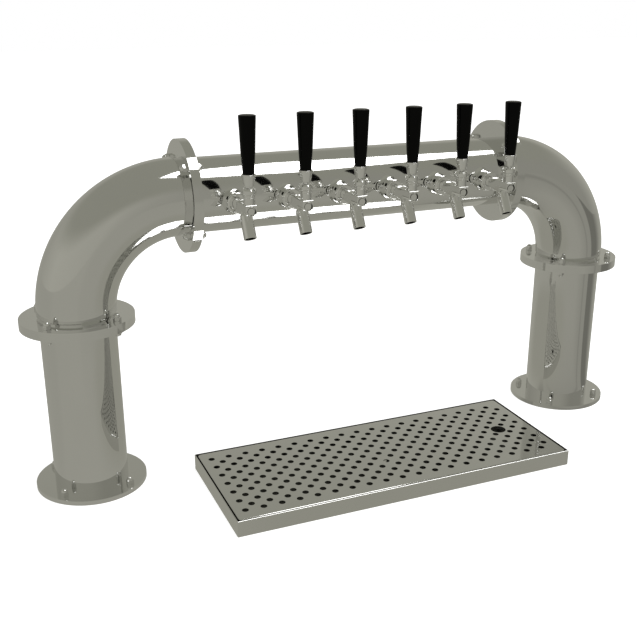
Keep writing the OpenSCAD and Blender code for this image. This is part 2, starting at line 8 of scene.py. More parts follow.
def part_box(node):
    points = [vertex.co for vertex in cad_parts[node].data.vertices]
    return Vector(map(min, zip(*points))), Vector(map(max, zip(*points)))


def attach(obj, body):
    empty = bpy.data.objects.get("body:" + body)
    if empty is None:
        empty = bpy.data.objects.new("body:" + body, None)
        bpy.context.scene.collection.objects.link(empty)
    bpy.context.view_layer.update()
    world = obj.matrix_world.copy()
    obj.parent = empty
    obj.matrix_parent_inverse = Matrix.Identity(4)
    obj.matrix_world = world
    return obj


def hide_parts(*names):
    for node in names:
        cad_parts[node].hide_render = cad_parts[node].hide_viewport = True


bl_info = {
    "name": "Bridge beer tower",
    "version": (1, 0, 0),
    "blender": (4, 5, 0),
    "location": "3D View > Sidebar > Beer Tower",
    "description": "Builds a six-tap flanged pipe beer tower with its drip tray and studio",
    "category": "Object",
}

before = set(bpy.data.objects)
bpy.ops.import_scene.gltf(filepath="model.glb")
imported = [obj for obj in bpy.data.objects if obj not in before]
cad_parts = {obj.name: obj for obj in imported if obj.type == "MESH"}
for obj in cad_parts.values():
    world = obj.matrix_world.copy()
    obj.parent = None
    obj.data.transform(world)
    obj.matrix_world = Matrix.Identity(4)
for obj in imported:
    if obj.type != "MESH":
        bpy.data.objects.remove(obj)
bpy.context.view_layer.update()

TAPS = (1, 2, 3, 4, 5, 6)
SIDES = {"left": -1, "right": 1}
BEAM_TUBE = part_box("beam")
TRAY_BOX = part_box("tray_pan")
SHANK_HOLE = 0.0113
FLUSH = 0.0001
TUBE_SIDES = 192
TURNED_SIDES = 96


# Property groups with the sizes and colours that a user would change

class TowerSizes(bpy.types.PropertyGroup):
    """Sizes of the tubes, flanges and fasteners"""

    tube_diameter: bpy.props.FloatProperty(
        name="Tube diameter",
        description="Outer diameter of the columns, elbows and beam",
        default=BEAM_TUBE[1][1] - BEAM_TUBE[0][1],
        unit="LENGTH",
    )
    tube_wall: bpy.props.FloatProperty(
        name="Tube wall",
        description="Wall of the tubes",
        default=0.003,
        unit="LENGTH",
    )
    beam_height: bpy.props.FloatProperty(
        name="Beam height",
        description="Height of the beam's axis above the bar top",
        default=(BEAM_TUBE[1][2] + BEAM_TUBE[0][2]) / 2,
        unit="LENGTH",
    )
    beam_length: bpy.props.FloatProperty(
        name="Beam length",
        description="Length of the beam's tube between its flanges",
        default=BEAM_TUBE[1][0] - BEAM_TUBE[0][0],
        unit="LENGTH",
    )
    elbow_radius: bpy.props.FloatProperty(
        name="Elbow radius",
        description="Radius of the elbows at the tube's centre line",
        default=0.2164,
        unit="LENGTH",
    )
    elbow_stub: bpy.props.FloatProperty(
        name="Elbow stub",
        description="Straight length at each end of an elbow",
        default=0.006,
        unit="LENGTH",
    )
    column_length: bpy.props.FloatProperty(
        name="Column length",
        description="Length of a column's tube between its flanges",
        default=0.344,
        unit="LENGTH",
    )
    flange_diameter: bpy.props.FloatProperty(
        name="Flange diameter",
        description="Outer diameter of a flange plate",
        default=0.229,
        unit="LENGTH",
    )
    flange_thickness: bpy.props.FloatProperty(
        name="Flange thickness",
        description="Thickness of one flange plate",
        default=0.0095,
        unit="LENGTH",
    )
    bolt_circle: bpy.props.FloatProperty(
        name="Bolt circle",
        description="Diameter of the circle that the bolts sit on",
        default=0.1907,
        unit="LENGTH",
    )
    bolt_diameter: bpy.props.FloatProperty(
        name="Bolt diameter",
        description="Diameter of a flange bolt",
        default=0.0095,
        unit="LENGTH",
    )
    nut_flats: bpy.props.FloatProperty(
        name="Nut flats",
        description="Width across the flats of nuts and bolt heads",
        default=0.0143,
        unit="LENGTH",
    )


class TapSizes(bpy.types.PropertyGroup):
    """Sizes of the faucets and their handles"""

    pitch: bpy.props.FloatProperty(
        name="Tap pitch",
        description="Distance from one tap to the next",
        default=0.1148,
        unit="LENGTH",
    )
    reach: bpy.props.FloatProperty(
        name="Tap reach",
        description="Distance from the beam's axis to a handle's axis",
        default=0.1815,
        unit="LENGTH",
    )
    pivot_rise: bpy.props.FloatProperty(
        name="Pivot rise",
        description="Height of a lever's ball above the beam's axis",
        default=0.0301,
        unit="LENGTH",
    )
    spout_lean: bpy.props.FloatProperty(
        name="Spout lean",
        description="Angle of a spout from straight down",
        default=math.radians(29),
        subtype="ANGLE",
    )


class TraySizes(bpy.types.PropertyGroup):
    """Sizes of the drip tray"""

    length: bpy.props.FloatProperty(
        name="Tray length",
        description="Length of the drip tray",
        default=TRAY_BOX[1][0] - TRAY_BOX[0][0],
        unit="LENGTH",
    )
    depth: bpy.props.FloatProperty(
        name="Tray depth",
        description="Depth of the drip tray, front to back",
        default=TRAY_BOX[1][1] - TRAY_BOX[0][1],
        unit="LENGTH",
    )
    height: bpy.props.FloatProperty(
        name="Tray height",
        description="Height of the drip tray's rim above the bar top",
        default=TRAY_BOX[1][2],
        unit="LENGTH",
    )
    sheet: bpy.props.FloatProperty(
        name="Tray sheet",
        description="Thickness of the tray's and the insert's sheet",
        default=0.0015,
        unit="LENGTH",
    )
    hole_pitch: bpy.props.FloatProperty(
        name="Hole pitch",
        description="Distance between neighbouring holes in one row",
        default=0.0383,
        unit="LENGTH",
    )
    hole_diameter: bpy.props.FloatProperty(
        name="Hole diameter",
        description="Diameter of the insert's holes",
        default=0.0128,
        unit="LENGTH",
    )


class TowerFinishes(bpy.types.PropertyGroup):
    """Colours and gloss of the tower's finishes"""

    steel_colour: bpy.props.FloatVectorProperty(
        name="Steel colour",
        description="Colour of the polished steel",
        default=(0.820, 0.820, 0.812),
        size=3,
        subtype="COLOR",
    )
    chrome_colour: bpy.props.FloatVectorProperty(
        name="Chrome colour",
        description="Colour of the plated faucets",
        default=(0.880, 0.880, 0.872),
        size=3,
        subtype="COLOR",
    )
    handle_colour: bpy.props.FloatVectorProperty(
        name="Handle colour",
        description="Colour of the tap handles",
        default=(0.0012, 0.0012, 0.0011),
        size=3,
        subtype="COLOR",
    )
    steel_roughness: bpy.props.FloatProperty(
        name="Steel roughness",
        description="Roughness of the polished steel",
        default=0.05,
        subtype="FACTOR",
    )
    mirrored_floor: bpy.props.FloatVectorProperty(
        name="Mirrored floor",
        description="Colour of the floor round the tower's feet as the metal mirrors it",
        default=(0.318, 0.315, 0.268),
        size=3,
        subtype="COLOR",
    )
    mirrored_sky: bpy.props.FloatVectorProperty(
        name="Mirrored sky",
        description="Colour of the room above the floor as the metal mirrors it",
        default=(0.280, 0.280, 0.235),
        size=3,
        subtype="COLOR",
    )


# Helpers that model as by hand

def clear_selection():
    if bpy.context.mode != "OBJECT":
        bpy.ops.object.mode_set(mode="OBJECT")
    bpy.ops.object.select_all(action="DESELECT")


def make_active(shape):
    clear_selection()
    shape.select_set(True)
    bpy.context.view_layer.objects.active = shape


def name_new(name):
    shape = bpy.context.object
    shape.name = name
    shape.data.name = name
    return shape


def fix_normals(shape):
    make_active(shape)
    bpy.ops.object.mode_set(mode="EDIT")
    bpy.ops.mesh.select_all(action="SELECT")
    bpy.ops.mesh.remove_doubles(threshold=0.000002)
    bpy.ops.mesh.normals_make_consistent(inside=False)
    bpy.ops.object.mode_set(mode="OBJECT")


def place(shape, location=(0, 0, 0), rotation=(0, 0, 0)):
    """Moves a shape and puts its place in its mesh."""
    make_active(shape)
    shape.location = location
    shape.rotation_euler = rotation
    bpy.ops.object.transform_apply(location=True, rotation=True, scale=True)
    return shape


def copy_of(shape, name):
    """A copy with its own mesh."""
    twin = shape.copy()
    twin.data = shape.data.copy()
    twin.name = name
    twin.data.name = name
    bpy.context.collection.objects.link(twin)
    return twin


def drop(shape):
    mesh = shape.data
    bpy.data.objects.remove(shape)
    bpy.data.meshes.remove(mesh)


def join(shapes, name):
    clear_selection()
    for shape in shapes:
        shape.select_set(True)
    bpy.context.view_layer.objects.active = shapes[0]
    if len(shapes) > 1:
        bpy.ops.object.join()
    return name_new(name)


def apply_modifier(shape, kind, **settings):
    make_active(shape)
    modifier = shape.modifiers.new(kind.title(), kind)
    for key, value in settings.items():
        setattr(modifier, key, value)
    bpy.ops.object.modifier_apply(modifier=modifier.name)


def combine(shape, other, operation):
    """Cuts, joins or crosses a shape with another, which is used up."""
    apply_modifier(shape, "BOOLEAN", operation=operation, solver="EXACT", object=other)
    drop(other)
    return shape


def smooth(shape, angle=30):
    """Smooth shading up to an angle, with the normals of flat faces kept flat."""
    make_active(shape)
    bpy.ops.object.shade_smooth_by_angle(angle=math.radians(angle))
    apply_modifier(shape, "WEIGHTED_NORMAL", keep_sharp=True, weight=100)


def soften(points, radius, steps=4):
    """Rounds the inner corners of a profile of radius and height pairs."""
    nearly_straight = math.radians(8)
    nearly_back = math.radians(170)
    longest_share = 0.45
    result = [points[0]]
    for before, corner, after in zip(points, points[1:], points[2:]):
        here = Vector(corner)
        back = Vector(before) - here
        ahead = Vector(after) - here
        turn = math.pi - back.angle(ahead)
        if turn < nearly_straight:
            result.append(corner)
            continue
        reach = radius * math.tan(turn / 2)
        reach = min(reach, back.length * longest_share, ahead.length * longest_share)
        real = reach / math.tan(turn / 2)
        start = here + back.normalized() * reach
        end = here + ahead.normalized() * reach
        inwards = (back.normalized() + ahead.normalized()).normalized()
        middle = here + inwards * real / math.cos(turn / 2)
        first = start - middle
        last = end - middle
        for index in range(steps + 1):
            share = index / steps
            spread = math.sin(turn)
            arm = (first * math.sin((1 - share) * turn) + last * math.sin(share * turn)) / spread
            if turn > nearly_back:
                arm = first.lerp(last, share)
            spot = middle + arm
            result.append((spot.x, spot.y))
    result.append(points[-1])
    return result


def turned(name, rings, sides, ends="fill"):
    """A shape turned about +Z, from rings of radius and height."""
    clear_selection()
    radius, height = rings[0]
    bpy.ops.mesh.primitive_circle_add(vertices=sides, radius=radius, location=(0, 0, 0))
    shape = name_new(name)
    bpy.ops.object.mode_set(mode="EDIT")
    bpy.ops.mesh.select_all(action="SELECT")
    bpy.ops.transform.translate(value=(0, 0, height))
    for next_radius, next_height in rings[1:]:
        bpy.ops.mesh.extrude_region_move(
            TRANSFORM_OT_translate={"value": (0, 0, next_height - height)}
        )
        factor = next_radius / radius
        bpy.ops.transform.resize(value=(factor, factor, 1), center_override=(0, 0, next_height))
        radius = next_radius
        height = next_height
    bpy.ops.mesh.select_all(action="SELECT")
    if ends == "fill":
        bpy.ops.mesh.fill_holes(sides=0)
    if ends == "bridge":
        bpy.ops.mesh.select_all(action="DESELECT")
        bpy.ops.mesh.select_non_manifold()
        bpy.ops.mesh.bridge_edge_loops()
    bpy.ops.mesh.select_all(action="SELECT")
    bpy.ops.mesh.normals_make_consistent(inside=False)
    bpy.ops.object.mode_set(mode="OBJECT")
    return shape


def rod(name, radius, start, end, sides=64):
    """A plain round cutter or core about +Z."""
    return turned(name, [(radius, start), (radius, end)], sides)


def block(name, low, high):
    """A box between two corners."""
    clear_selection()
    centre = [(a + b) / 2 for a, b in zip(low, high)]
    size = [b - a for a, b in zip(low, high)]
    bpy.ops.mesh.primitive_cube_add(size=1, location=(0, 0, 0))
    shape = name_new(name)
    bpy.ops.object.mode_set(mode="EDIT")
    bpy.ops.mesh.select_all(action="SELECT")
    bpy.ops.transform.resize(value=size, center_override=(0, 0, 0))
    bpy.ops.transform.translate(value=centre)
    bpy.ops.object.mode_set(mode="OBJECT")
    return shape


def bevel_edges(shape, wanted, width, segments, by_edge=False):
    """Bevels the edges that a test on their end points picks.

    Without by_edge, every edge between two picked points is bevelled too.
    """
    make_active(shape)
    bpy.context.tool_settings.mesh_select_mode = (not by_edge, by_edge, False)
    mesh = shape.data
    for face in mesh.polygons:
        face.select = False
    for vertex in mesh.vertices:
        vertex.select = False
    for edge in mesh.edges:
        first = mesh.vertices[edge.vertices[0]].co
        second = mesh.vertices[edge.vertices[1]].co
        edge.select = wanted(first, second)
    bpy.ops.object.mode_set(mode="EDIT")
    bpy.ops.mesh.select_mode(type="EDGE")
    bpy.ops.mesh.bevel(offset=width, segments=segments, affect="EDGES", clamp_overlap=True)
    bpy.ops.mesh.select_mode(type="VERT")
    bpy.ops.object.mode_set(mode="OBJECT")


def along_tap(shape, sideways=0.0):
    """Lays +Z of a shape along a tap, outwards from the beam's axis."""
    sizes = bpy.context.scene.tower_sizes
    return place(shape, (sideways, 0, sizes.beam_height), (math.pi / 2, 0, 0))


def tap_x(number):
    middle = (TAPS[0] + TAPS[-1]) / 2
    return (number - middle) * bpy.context.scene.tap_sizes.pitch


def bolt_spots():
    """The bolts' places round one flange."""
    radius = bpy.context.scene.tower_sizes.bolt_circle / 2
    spots = []
    for index in range(4):
        angle = math.radians(45 + 90 * index)
        spots.append((radius * math.cos(angle), radius * math.sin(angle)))
    return spots


def layout():
    """Heights and distances that several pieces share."""
    sizes = bpy.context.scene.tower_sizes
    thick = sizes.flange_thickness
    half = sizes.beam_length / 2
    return {
        "column_x": half + 2 * thick + sizes.elbow_stub + sizes.elbow_radius,
        "bend_x": half + 2 * thick + sizes.elbow_stub,
        "column_top": thick + sizes.column_length,
        "elbow_foot": 3 * thick + sizes.column_length,
        "bend_z": 3 * thick + sizes.column_length + sizes.elbow_stub,
        "joint_x": half + thick,
        "beam_z": sizes.beam_height,
    }


def finish(shape, material, body, nodes):
    """Gives a piece its material, and its place among the CAD bodies and nodes."""
    shape.data.materials.clear()
    shape.data.materials.append(material)
    ride_on(shape, body, nodes)


def ride_on(shape, body, nodes):
    """Gives a piece its place among the CAD bodies and nodes."""
    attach(shape, body)
    if nodes:
        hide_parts(*nodes)


def darken(shape, wanted, shade_material):
    """Gives the faces that a test picks a darker material with painted shade, for slots, recesses or the
    tray's well.
    """
    shape.data.materials.append(shade_material)
    for face in shape.data.polygons:
        face.material_index = 1 if wanted(face.center) else 0


def round_tap(spot):
    """How far a place lies from a tap's axis and from the beam's axis, with the tap's X at 0."""
    radius = math.hypot(spot.x, spot.z - bpy.context.scene.tower_sizes.beam_height)
    return radius, -spot.y


# Materials

def new_material(name):
    material = bpy.data.materials.get(name)
    if material:
        return material, None, None
    material = bpy.data.materials.new(name)
    material.use_nodes = True
    nodes = material.node_tree.nodes
    return material, nodes, material.node_tree.links


def group_polish():
    """Faint polishing lines and wiping marks: a mask, a roughness and a height."""
    found = bpy.data.node_groups.get("Polish")
    if found:
        return found
    tree = bpy.data.node_groups.new("Polish", "ShaderNodeTree")
    face = tree.interface
    starts = {"Roughness": 0.05, "Spread": 0.02, "Line Scale": 400.0, "Smudge Scale": 9.0}
    for label, start in starts.items():
        socket = face.new_socket(label, in_out="INPUT", socket_type="NodeSocketFloat")
        socket.default_value = start
    face.new_socket("Stretch", in_out="INPUT", socket_type="NodeSocketVector")
    face.new_socket("Roughness", in_out="OUTPUT", socket_type="NodeSocketFloat")
    face.new_socket("Height", in_out="OUTPUT", socket_type="NodeSocketFloat")
    face.new_socket("Mask", in_out="OUTPUT", socket_type="NodeSocketFloat")
    nodes = tree.nodes
    links = tree.links
    entry = nodes.new("NodeGroupInput")
    way_out = nodes.new("NodeGroupOutput")
    coords = nodes.new("ShaderNodeTexCoord")
    stretch = nodes.new("ShaderNodeVectorMath")
    stretch.operation = "MULTIPLY"
    links.new(coords.outputs["Object"], stretch.inputs[0])
    links.new(entry.outputs["Stretch"], stretch.inputs[1])
    lines = nodes.new("ShaderNodeTexNoise")
    lines.inputs["Detail"].default_value = 3.0
    lines.inputs["Roughness"].default_value = 0.6
    links.new(stretch.outputs["Vector"], lines.inputs["Vector"])
    links.new(entry.outputs["Line Scale"], lines.inputs["Scale"])
    smudge = nodes.new("ShaderNodeTexNoise")
    smudge.inputs["Detail"].default_value = 4.0
    smudge.inputs["Distortion"].default_value = 0.6
    links.new(coords.outputs["Object"], smudge.inputs["Vector"])
    links.new(entry.outputs["Smudge Scale"], smudge.inputs["Scale"])
    both = nodes.new("ShaderNodeMath")
    both.operation = "MULTIPLY"
    links.new(lines.outputs["Fac"], both.inputs[0])
    links.new(smudge.outputs["Fac"], both.inputs[1])
    spread = nodes.new("ShaderNodeMath")
    spread.operation = "MULTIPLY_ADD"
    links.new(both.outputs["Value"], spread.inputs[0])
    links.new(entry.outputs["Spread"], spread.inputs[1])
    links.new(entry.outputs["Roughness"], spread.inputs[2])
    links.new(spread.outputs["Value"], way_out.inputs["Roughness"])
    links.new(lines.outputs["Fac"], way_out.inputs["Height"])
    links.new(smudge.outputs["Fac"], way_out.inputs["Mask"])
    return tree


def metal(name, colour, darker, roughness, spread, lines, stretch, bump):
    """A polished metal with fine lines, wiping marks and a slight change of tone."""
    material, nodes, links = new_material(name)
    if nodes is None:
        return material
    shader = nodes["Principled BSDF"]
    shader.inputs["Metallic"].default_value = 1.0
    polish = nodes.new("ShaderNodeGroup")
    polish.node_tree = group_polish()
    polish.inputs["Roughness"].default_value = roughness
    polish.inputs["Spread"].default_value = spread
    polish.inputs["Line Scale"].default_value = lines
    polish.inputs["Smudge Scale"].default_value = 7.0
    polish.inputs["Stretch"].default_value = stretch
    tone = nodes.new("ShaderNodeMix")
    tone.data_type = "RGBA"
    tone.inputs["A"].default_value = (*darker, 1.0)
    tone.inputs["B"].default_value = (*colour, 1.0)
    links.new(polish.outputs["Mask"], tone.inputs["Factor"])
    links.new(tone.outputs["Result"], shader.inputs["Base Color"])
    links.new(polish.outputs["Roughness"], shader.inputs["Roughness"])
    if bump:
        relief = nodes.new("ShaderNodeBump")
        relief.inputs["Strength"].default_value = bump
        relief.inputs["Distance"].default_value = 0.00002
        links.new(polish.outputs["Height"], relief.inputs["Height"])
        links.new(relief.outputs["Normal"], shader.inputs["Normal"])
    return material


def steel():
    finishes = bpy.context.scene.tower_finishes
    colour = tuple(finishes.steel_colour)
    darker = tuple(value * 0.955 for value in colour)
    return metal(
        "Polished steel", colour, darker,
        roughness=finishes.steel_roughness, spread=0.02, lines=700.0, stretch=(0.06, 1.0, 1.0), bump=0.0,
    )


def tray_steel():
    finishes = bpy.context.scene.tower_finishes
    colour = tuple(finishes.steel_colour)
    darker = tuple(value * 0.95 for value in colour)
    return metal(
        "Polished tray sheet", colour, darker,
        roughness=0.055, spread=0.03, lines=600.0, stretch=(0.04, 1.0, 1.0), bump=0.0,
    )


def chrome():
    finishes = bpy.context.scene.tower_finishes
    colour = tuple(finishes.chrome_colour)
    darker = tuple(value * 0.97 for value in colour)
    return metal(
        "Chrome plate", colour, darker,
        roughness=0.04, spread=0.02, lines=300.0, stretch=(1.0, 1.0, 1.0), bump=0.0,
    )


def painted_shade_metal():
    """Painted shade: a dark metal that stands in for the shade in unlit slots, recesses and hole walls."""
    dark = (0.040, 0.040, 0.036)
    darker = (0.022, 0.022, 0.020)
    return metal(
        "Painted shade recess metal", dark, darker,
        roughness=0.30, spread=0.15, lines=300.0, stretch=(1.0, 1.0, 1.0), bump=0.0,
    )


def painted_shade_well():
    """The inside of the tray's pan, with painted shade: a darker colour where shade falls in the well, and
    a rougher surface.
    """
    well_shade_grey = (0.20, 0.20, 0.18)
    darker = (0.14, 0.14, 0.13)
    return metal(
        "Painted shade tray well", well_shade_grey, darker,
        roughness=0.40, spread=0.15, lines=300.0, stretch=(1.0, 1.0, 1.0), bump=0.0,
    )


def turned_steel():
    pale = (0.46, 0.46, 0.44)
    darker = (0.38, 0.38, 0.36)
    return metal(
        "Turned steel", pale, darker,
        roughness=0.22, spread=0.15, lines=900.0, stretch=(1.0, 0.05, 1.0), bump=0.2,
    )


def line_steel():
    pale = (0.44, 0.44, 0.42)
    darker = (0.36, 0.36, 0.35)
    return metal(
        "Drawn steel line", pale, darker,
        roughness=0.20, spread=0.12, lines=500.0, stretch=(0.1, 1.0, 0.1), bump=0.1,
    )


def copper():
    bright = (0.70, 0.33, 0.19)
    darker = (0.46, 0.20, 0.12)
    return metal(
        "Drawn copper", bright, darker,
        roughness=0.24, spread=0.18, lines=400.0, stretch=(0.1, 1.0, 0.1), bump=0.1,
    )


def cast_block():
    pale = (0.62, 0.62, 0.64)
    darker = (0.52, 0.52, 0.54)
    return metal(
        "Milled cold block", pale, darker,
        roughness=0.34, spread=0.20, lines=260.0, stretch=(0.05, 1.0, 1.0), bump=0.4,
    )


def foam():
    material, nodes, links = new_material("Poured foam")
    if nodes is None:
        return material
    shader = nodes["Principled BSDF"]
    shader.inputs["Roughness"].default_value = 0.9
    coords = nodes.new("ShaderNodeTexCoord")
    cells = nodes.new("ShaderNodeTexVoronoi")
    cells.inputs["Scale"].default_value = 700.0
    links.new(coords.outputs["Object"], cells.inputs["Vector"])
    blotch = nodes.new("ShaderNodeTexNoise")
    blotch.inputs["Scale"].default_value = 22.0
    links.new(coords.outputs["Object"], blotch.inputs["Vector"])
    tone = nodes.new("ShaderNodeMix")
    tone.data_type = "RGBA"
    tone.inputs["A"].default_value = (0.62, 0.50, 0.27, 1.0)
    tone.inputs["B"].default_value = (0.80, 0.72, 0.48, 1.0)
    links.new(blotch.outputs["Fac"], tone.inputs["Factor"])
    links.new(tone.outputs["Result"], shader.inputs["Base Color"])
    relief = nodes.new("ShaderNodeBump")
    relief.inputs["Strength"].default_value = 0.5
    relief.inputs["Distance"].default_value = 0.0004
    links.new(cells.outputs["Distance"], relief.inputs["Height"])
    links.new(relief.outputs["Normal"], shader.inputs["Normal"])
    return material


def black_gloss():
    finishes = bpy.context.scene.tower_finishes
    material, nodes, links = new_material("Black gloss")
    if nodes is None:
        return material
    shader = nodes["Principled BSDF"]
    shader.inputs["Specular IOR Level"].default_value = 0.08
    coords = nodes.new("ShaderNodeTexCoord")
    smears = nodes.new("ShaderNodeTexNoise")
    smears.inputs["Scale"].default_value = 30.0
    smears.inputs["Detail"].default_value = 5.0
    links.new(coords.outputs["Object"], smears.inputs["Vector"])
    gloss = nodes.new("ShaderNodeMapRange")
    gloss.inputs["To Min"].default_value = 0.10
    gloss.inputs["To Max"].default_value = 0.20
    links.new(smears.outputs["Fac"], gloss.inputs["Value"])
    links.new(gloss.outputs["Result"], shader.inputs["Roughness"])
    tone = nodes.new("ShaderNodeMix")
    tone.data_type = "RGBA"
    base = tuple(finishes.handle_colour)
    tone.inputs["A"].default_value = (*base, 1.0)
    tone.inputs["B"].default_value = (*[value * 1.7 for value in base], 1.0)
    links.new(smears.outputs["Fac"], tone.inputs["Factor"])
    links.new(tone.outputs["Result"], shader.inputs["Base Color"])
    return material


# Tower

class TOWER_OT_columns(bpy.types.Operator):
    """Makes the tubes of the two columns"""

    bl_idname = "beer_tower.columns"
    bl_label = "Columns"

    def execute(self, context):
        sizes = context.scene.tower_sizes
        spots = layout()
        for side, sign in SIDES.items():
            node = "column_" + side
            outer = sizes.tube_diameter / 2
            rings = [(outer, sizes.flange_thickness), (outer, spots["column_top"])]
            tube = turned(node + "_finish", rings, TUBE_SIDES, ends="open")
            apply_modifier(tube, "SOLIDIFY", thickness=sizes.tube_wall, offset=-1.0, use_rim=True)
            place(tube, (sign * spots["column_x"], 0, 0))
            smooth(tube)
            finish(tube, steel(), "root", [node])
        return {"FINISHED"}


class TOWER_OT_elbows(bpy.types.Operator):
    """Makes the two bent tubes"""

    bl_idname = "beer_tower.elbows"
    bl_label = "Elbows"

    def execute(self, context):
        sizes = context.scene.tower_sizes
        spots = layout()
        for side, sign in SIDES.items():
            node = "elbow_" + side
            outer = sizes.tube_diameter / 2
            rings = [(outer, spots["elbow_foot"]), (outer, spots["bend_z"])]
            tube = turned(node + "_finish", rings, TUBE_SIDES, ends="open")
            place(tube, (sign * spots["column_x"], 0, 0))
            mesh = tube.data
            for vertex in mesh.vertices:
                vertex.select = vertex.co.z > spots["bend_z"] - FLUSH
            bpy.ops.object.mode_set(mode="EDIT")
            bpy.ops.mesh.select_mode(type="VERT")
            bpy.ops.mesh.spin(
                steps=96,
                angle=sign * math.pi / 2,
                center=(sign * spots["bend_x"], 0, spots["bend_z"]),
                axis=(0, 1, 0),
            )
            bpy.ops.mesh.extrude_region_move(
                TRANSFORM_OT_translate={"value": (-sign * sizes.elbow_stub, 0, 0)}
            )
            bpy.ops.object.mode_set(mode="OBJECT")
            fix_normals(tube)
            apply_modifier(tube, "SOLIDIFY", thickness=sizes.tube_wall, offset=-1.0, use_rim=True)
            smooth(tube)
            finish(tube, steel(), "root", [node])
        return {"FINISHED"}


class TOWER_OT_beam(bpy.types.Operator):
    """Makes the beam's tube with a hole for each shank"""

    bl_idname = "beer_tower.beam"
    bl_label = "Beam"

    def execute(self, context):
        sizes = context.scene.tower_sizes
        outer = sizes.tube_diameter / 2
        half = sizes.beam_length / 2
        round_hole = 0.014
        rings = [(outer, -half)]
        for number in TAPS:
            rings.append((outer, tap_x(number) - round_hole))
            rings.append((outer, tap_x(number) + round_hole))
        rings.append((outer, half))
        tube = turned("beam_finish", rings, TUBE_SIDES, ends="open")
        apply_modifier(tube, "SOLIDIFY", thickness=sizes.tube_wall, offset=-1.0, use_rim=True)
        place(tube, (0, 0, sizes.beam_height), (0, math.pi / 2, 0))
        holes = []
        for number in TAPS:
            hole = rod("hole", SHANK_HOLE, outer * 0.65, outer * 1.3, 48)
            holes.append(along_tap(hole, tap_x(number)))
        combine(tube, join(holes, "holes"), "DIFFERENCE")
        smooth(tube)
        finish(tube, steel(), "root", ["beam"])
        return {"FINISHED"}


class TOWER_OT_flanges(bpy.types.Operator):
    """Makes the flange plates"""

    bl_idname = "beer_tower.flanges"
    bl_label = "Flanges"

    def execute(self, context):
        sizes = context.scene.tower_sizes
        spots = layout()
        rim = sizes.flange_diameter / 2
        bore = sizes.tube_diameter / 2 - sizes.tube_wall
        thick = sizes.flange_thickness
        rings = [(bore, 0), (rim, 0), (rim, thick), (bore, thick)]
        plate = turned("flange_plate", rings, TUBE_SIDES, ends="bridge")
        clearance = 0.0004
        past = 0.002
        holes = []
        for x, y in bolt_spots():
            hole = rod("hole", sizes.bolt_diameter / 2 + clearance, -past, thick + past, 32)
            holes.append(place(hole, (x, y, 0)))
        combine(plate, join(holes, "holes"), "DIFFERENCE")
        smooth(plate, 20)
        for side, sign in SIDES.items():
            stands = {
                "base_flange_": ((spots["column_x"], 0, 0), 0),
                "column_flange_": ((spots["column_x"], 0, spots["column_top"]), 0),
                "elbow_lower_flange_": ((spots["column_x"], 0, spots["column_top"] + thick), 0),
                "elbow_upper_flange_": ((spots["joint_x"], 0, spots["beam_z"]), 1),
                "beam_flange_": ((spots["joint_x"] - thick, 0, spots["beam_z"]), 1),
            }
            for start, (spot, upright) in stands.items():
                node = start + side
                copy = copy_of(plate, node + "_finish")
                spin = sign * math.pi / 2 if upright else 0
                place(copy, (sign * spot[0], spot[1], spot[2]), (0, spin, 0))
                finish(copy, steel(), "root", [node])
        drop(plate)
        return {"FINISHED"}


def hexagon(name, flats, height):
    """A hexagon prism with its corners turned off at both ends."""
    corner = flats / math.sqrt(3)
    prism = turned(name, [(corner, 0), (corner, height)], 6)
    inner = flats / 2 * 0.985
    drop_off = (corner - inner) * 0.6
    far = corner * 1.02
    rings = [(inner, 0), (far, drop_off), (far, height - drop_off), (inner, height)]
    return combine(prism, turned("turning", rings, TURNED_SIDES), "INTERSECT")


def joint_frames():
    """Places of the bolted joints: location and rotation, with +Z away from the columns and the beam."""
    spots = layout()
    frames = []
    for sign in (-1, 1):
        top = spots["column_top"] + bpy.context.scene.tower_sizes.flange_thickness
        frames.append(((sign * spots["column_x"], 0, top), (0, 0, 0)))
        frames.append(((sign * spots["joint_x"], 0, spots["beam_z"]), (0, sign * math.pi / 2, 0)))
    return frames


class TOWER_OT_acorn_nuts(bpy.types.Operator):
    """Makes the domed nuts of all flanges"""

    bl_idname = "beer_tower.acorn_nuts"
    bl_label = "Acorn nuts"

    def execute(self, context):
        sizes = context.scene.tower_sizes
        spots = layout()
        dome = 0.0066
        height = 0.015
        hexagon_height = 0.008
        stud_bore = sizes.bolt_diameter / 2 + 0.0001
        bore_depth = 0.011
        nut = hexagon("nut", sizes.nut_flats, hexagon_height)
        rings = [(dome * 0.9, 0.004), (dome, 0.0045), (dome, height - dome)]
        for index in range(1, 13):
            angle = math.radians(90 * index / 12.5)
            rings.append((dome * math.cos(angle), height - dome + dome * math.sin(angle)))
        combine(nut, turned("dome", rings, 48), "UNION")
        combine(nut, rod("bore", stud_bore, -0.001, bore_depth, 32), "DIFFERENCE")
        smooth(nut, 25)
        copies = []
        stands = []
        lift = sizes.flange_thickness
        for location, rotation in joint_frames():
            stands.append((location, rotation, 0.0))
            stands.append((location, rotation, math.pi))
        for sign in (-1, 1):
            stands.append(((sign * spots["column_x"], 0, 0), (0, 0, 0), 0.0))
        for location, rotation, turn in stands:
            for index, (x, y) in enumerate(bolt_spots()):
                copy = copy_of(nut, "nut_copy")
                place(copy, (0, 0, 0), (0, 0, math.radians(45 + 90 * index)))
                place(copy, (x, y, lift))
                place(copy, (0, 0, 0), (turn, 0, 0))
                place(copy, location, rotation)
                copies.append(copy)
        drop(nut)
        group = join(copies, "acorn_nuts_finish")
        finish(group, steel(), "root", ["acorn_nuts"])
        return {"FINISHED"}


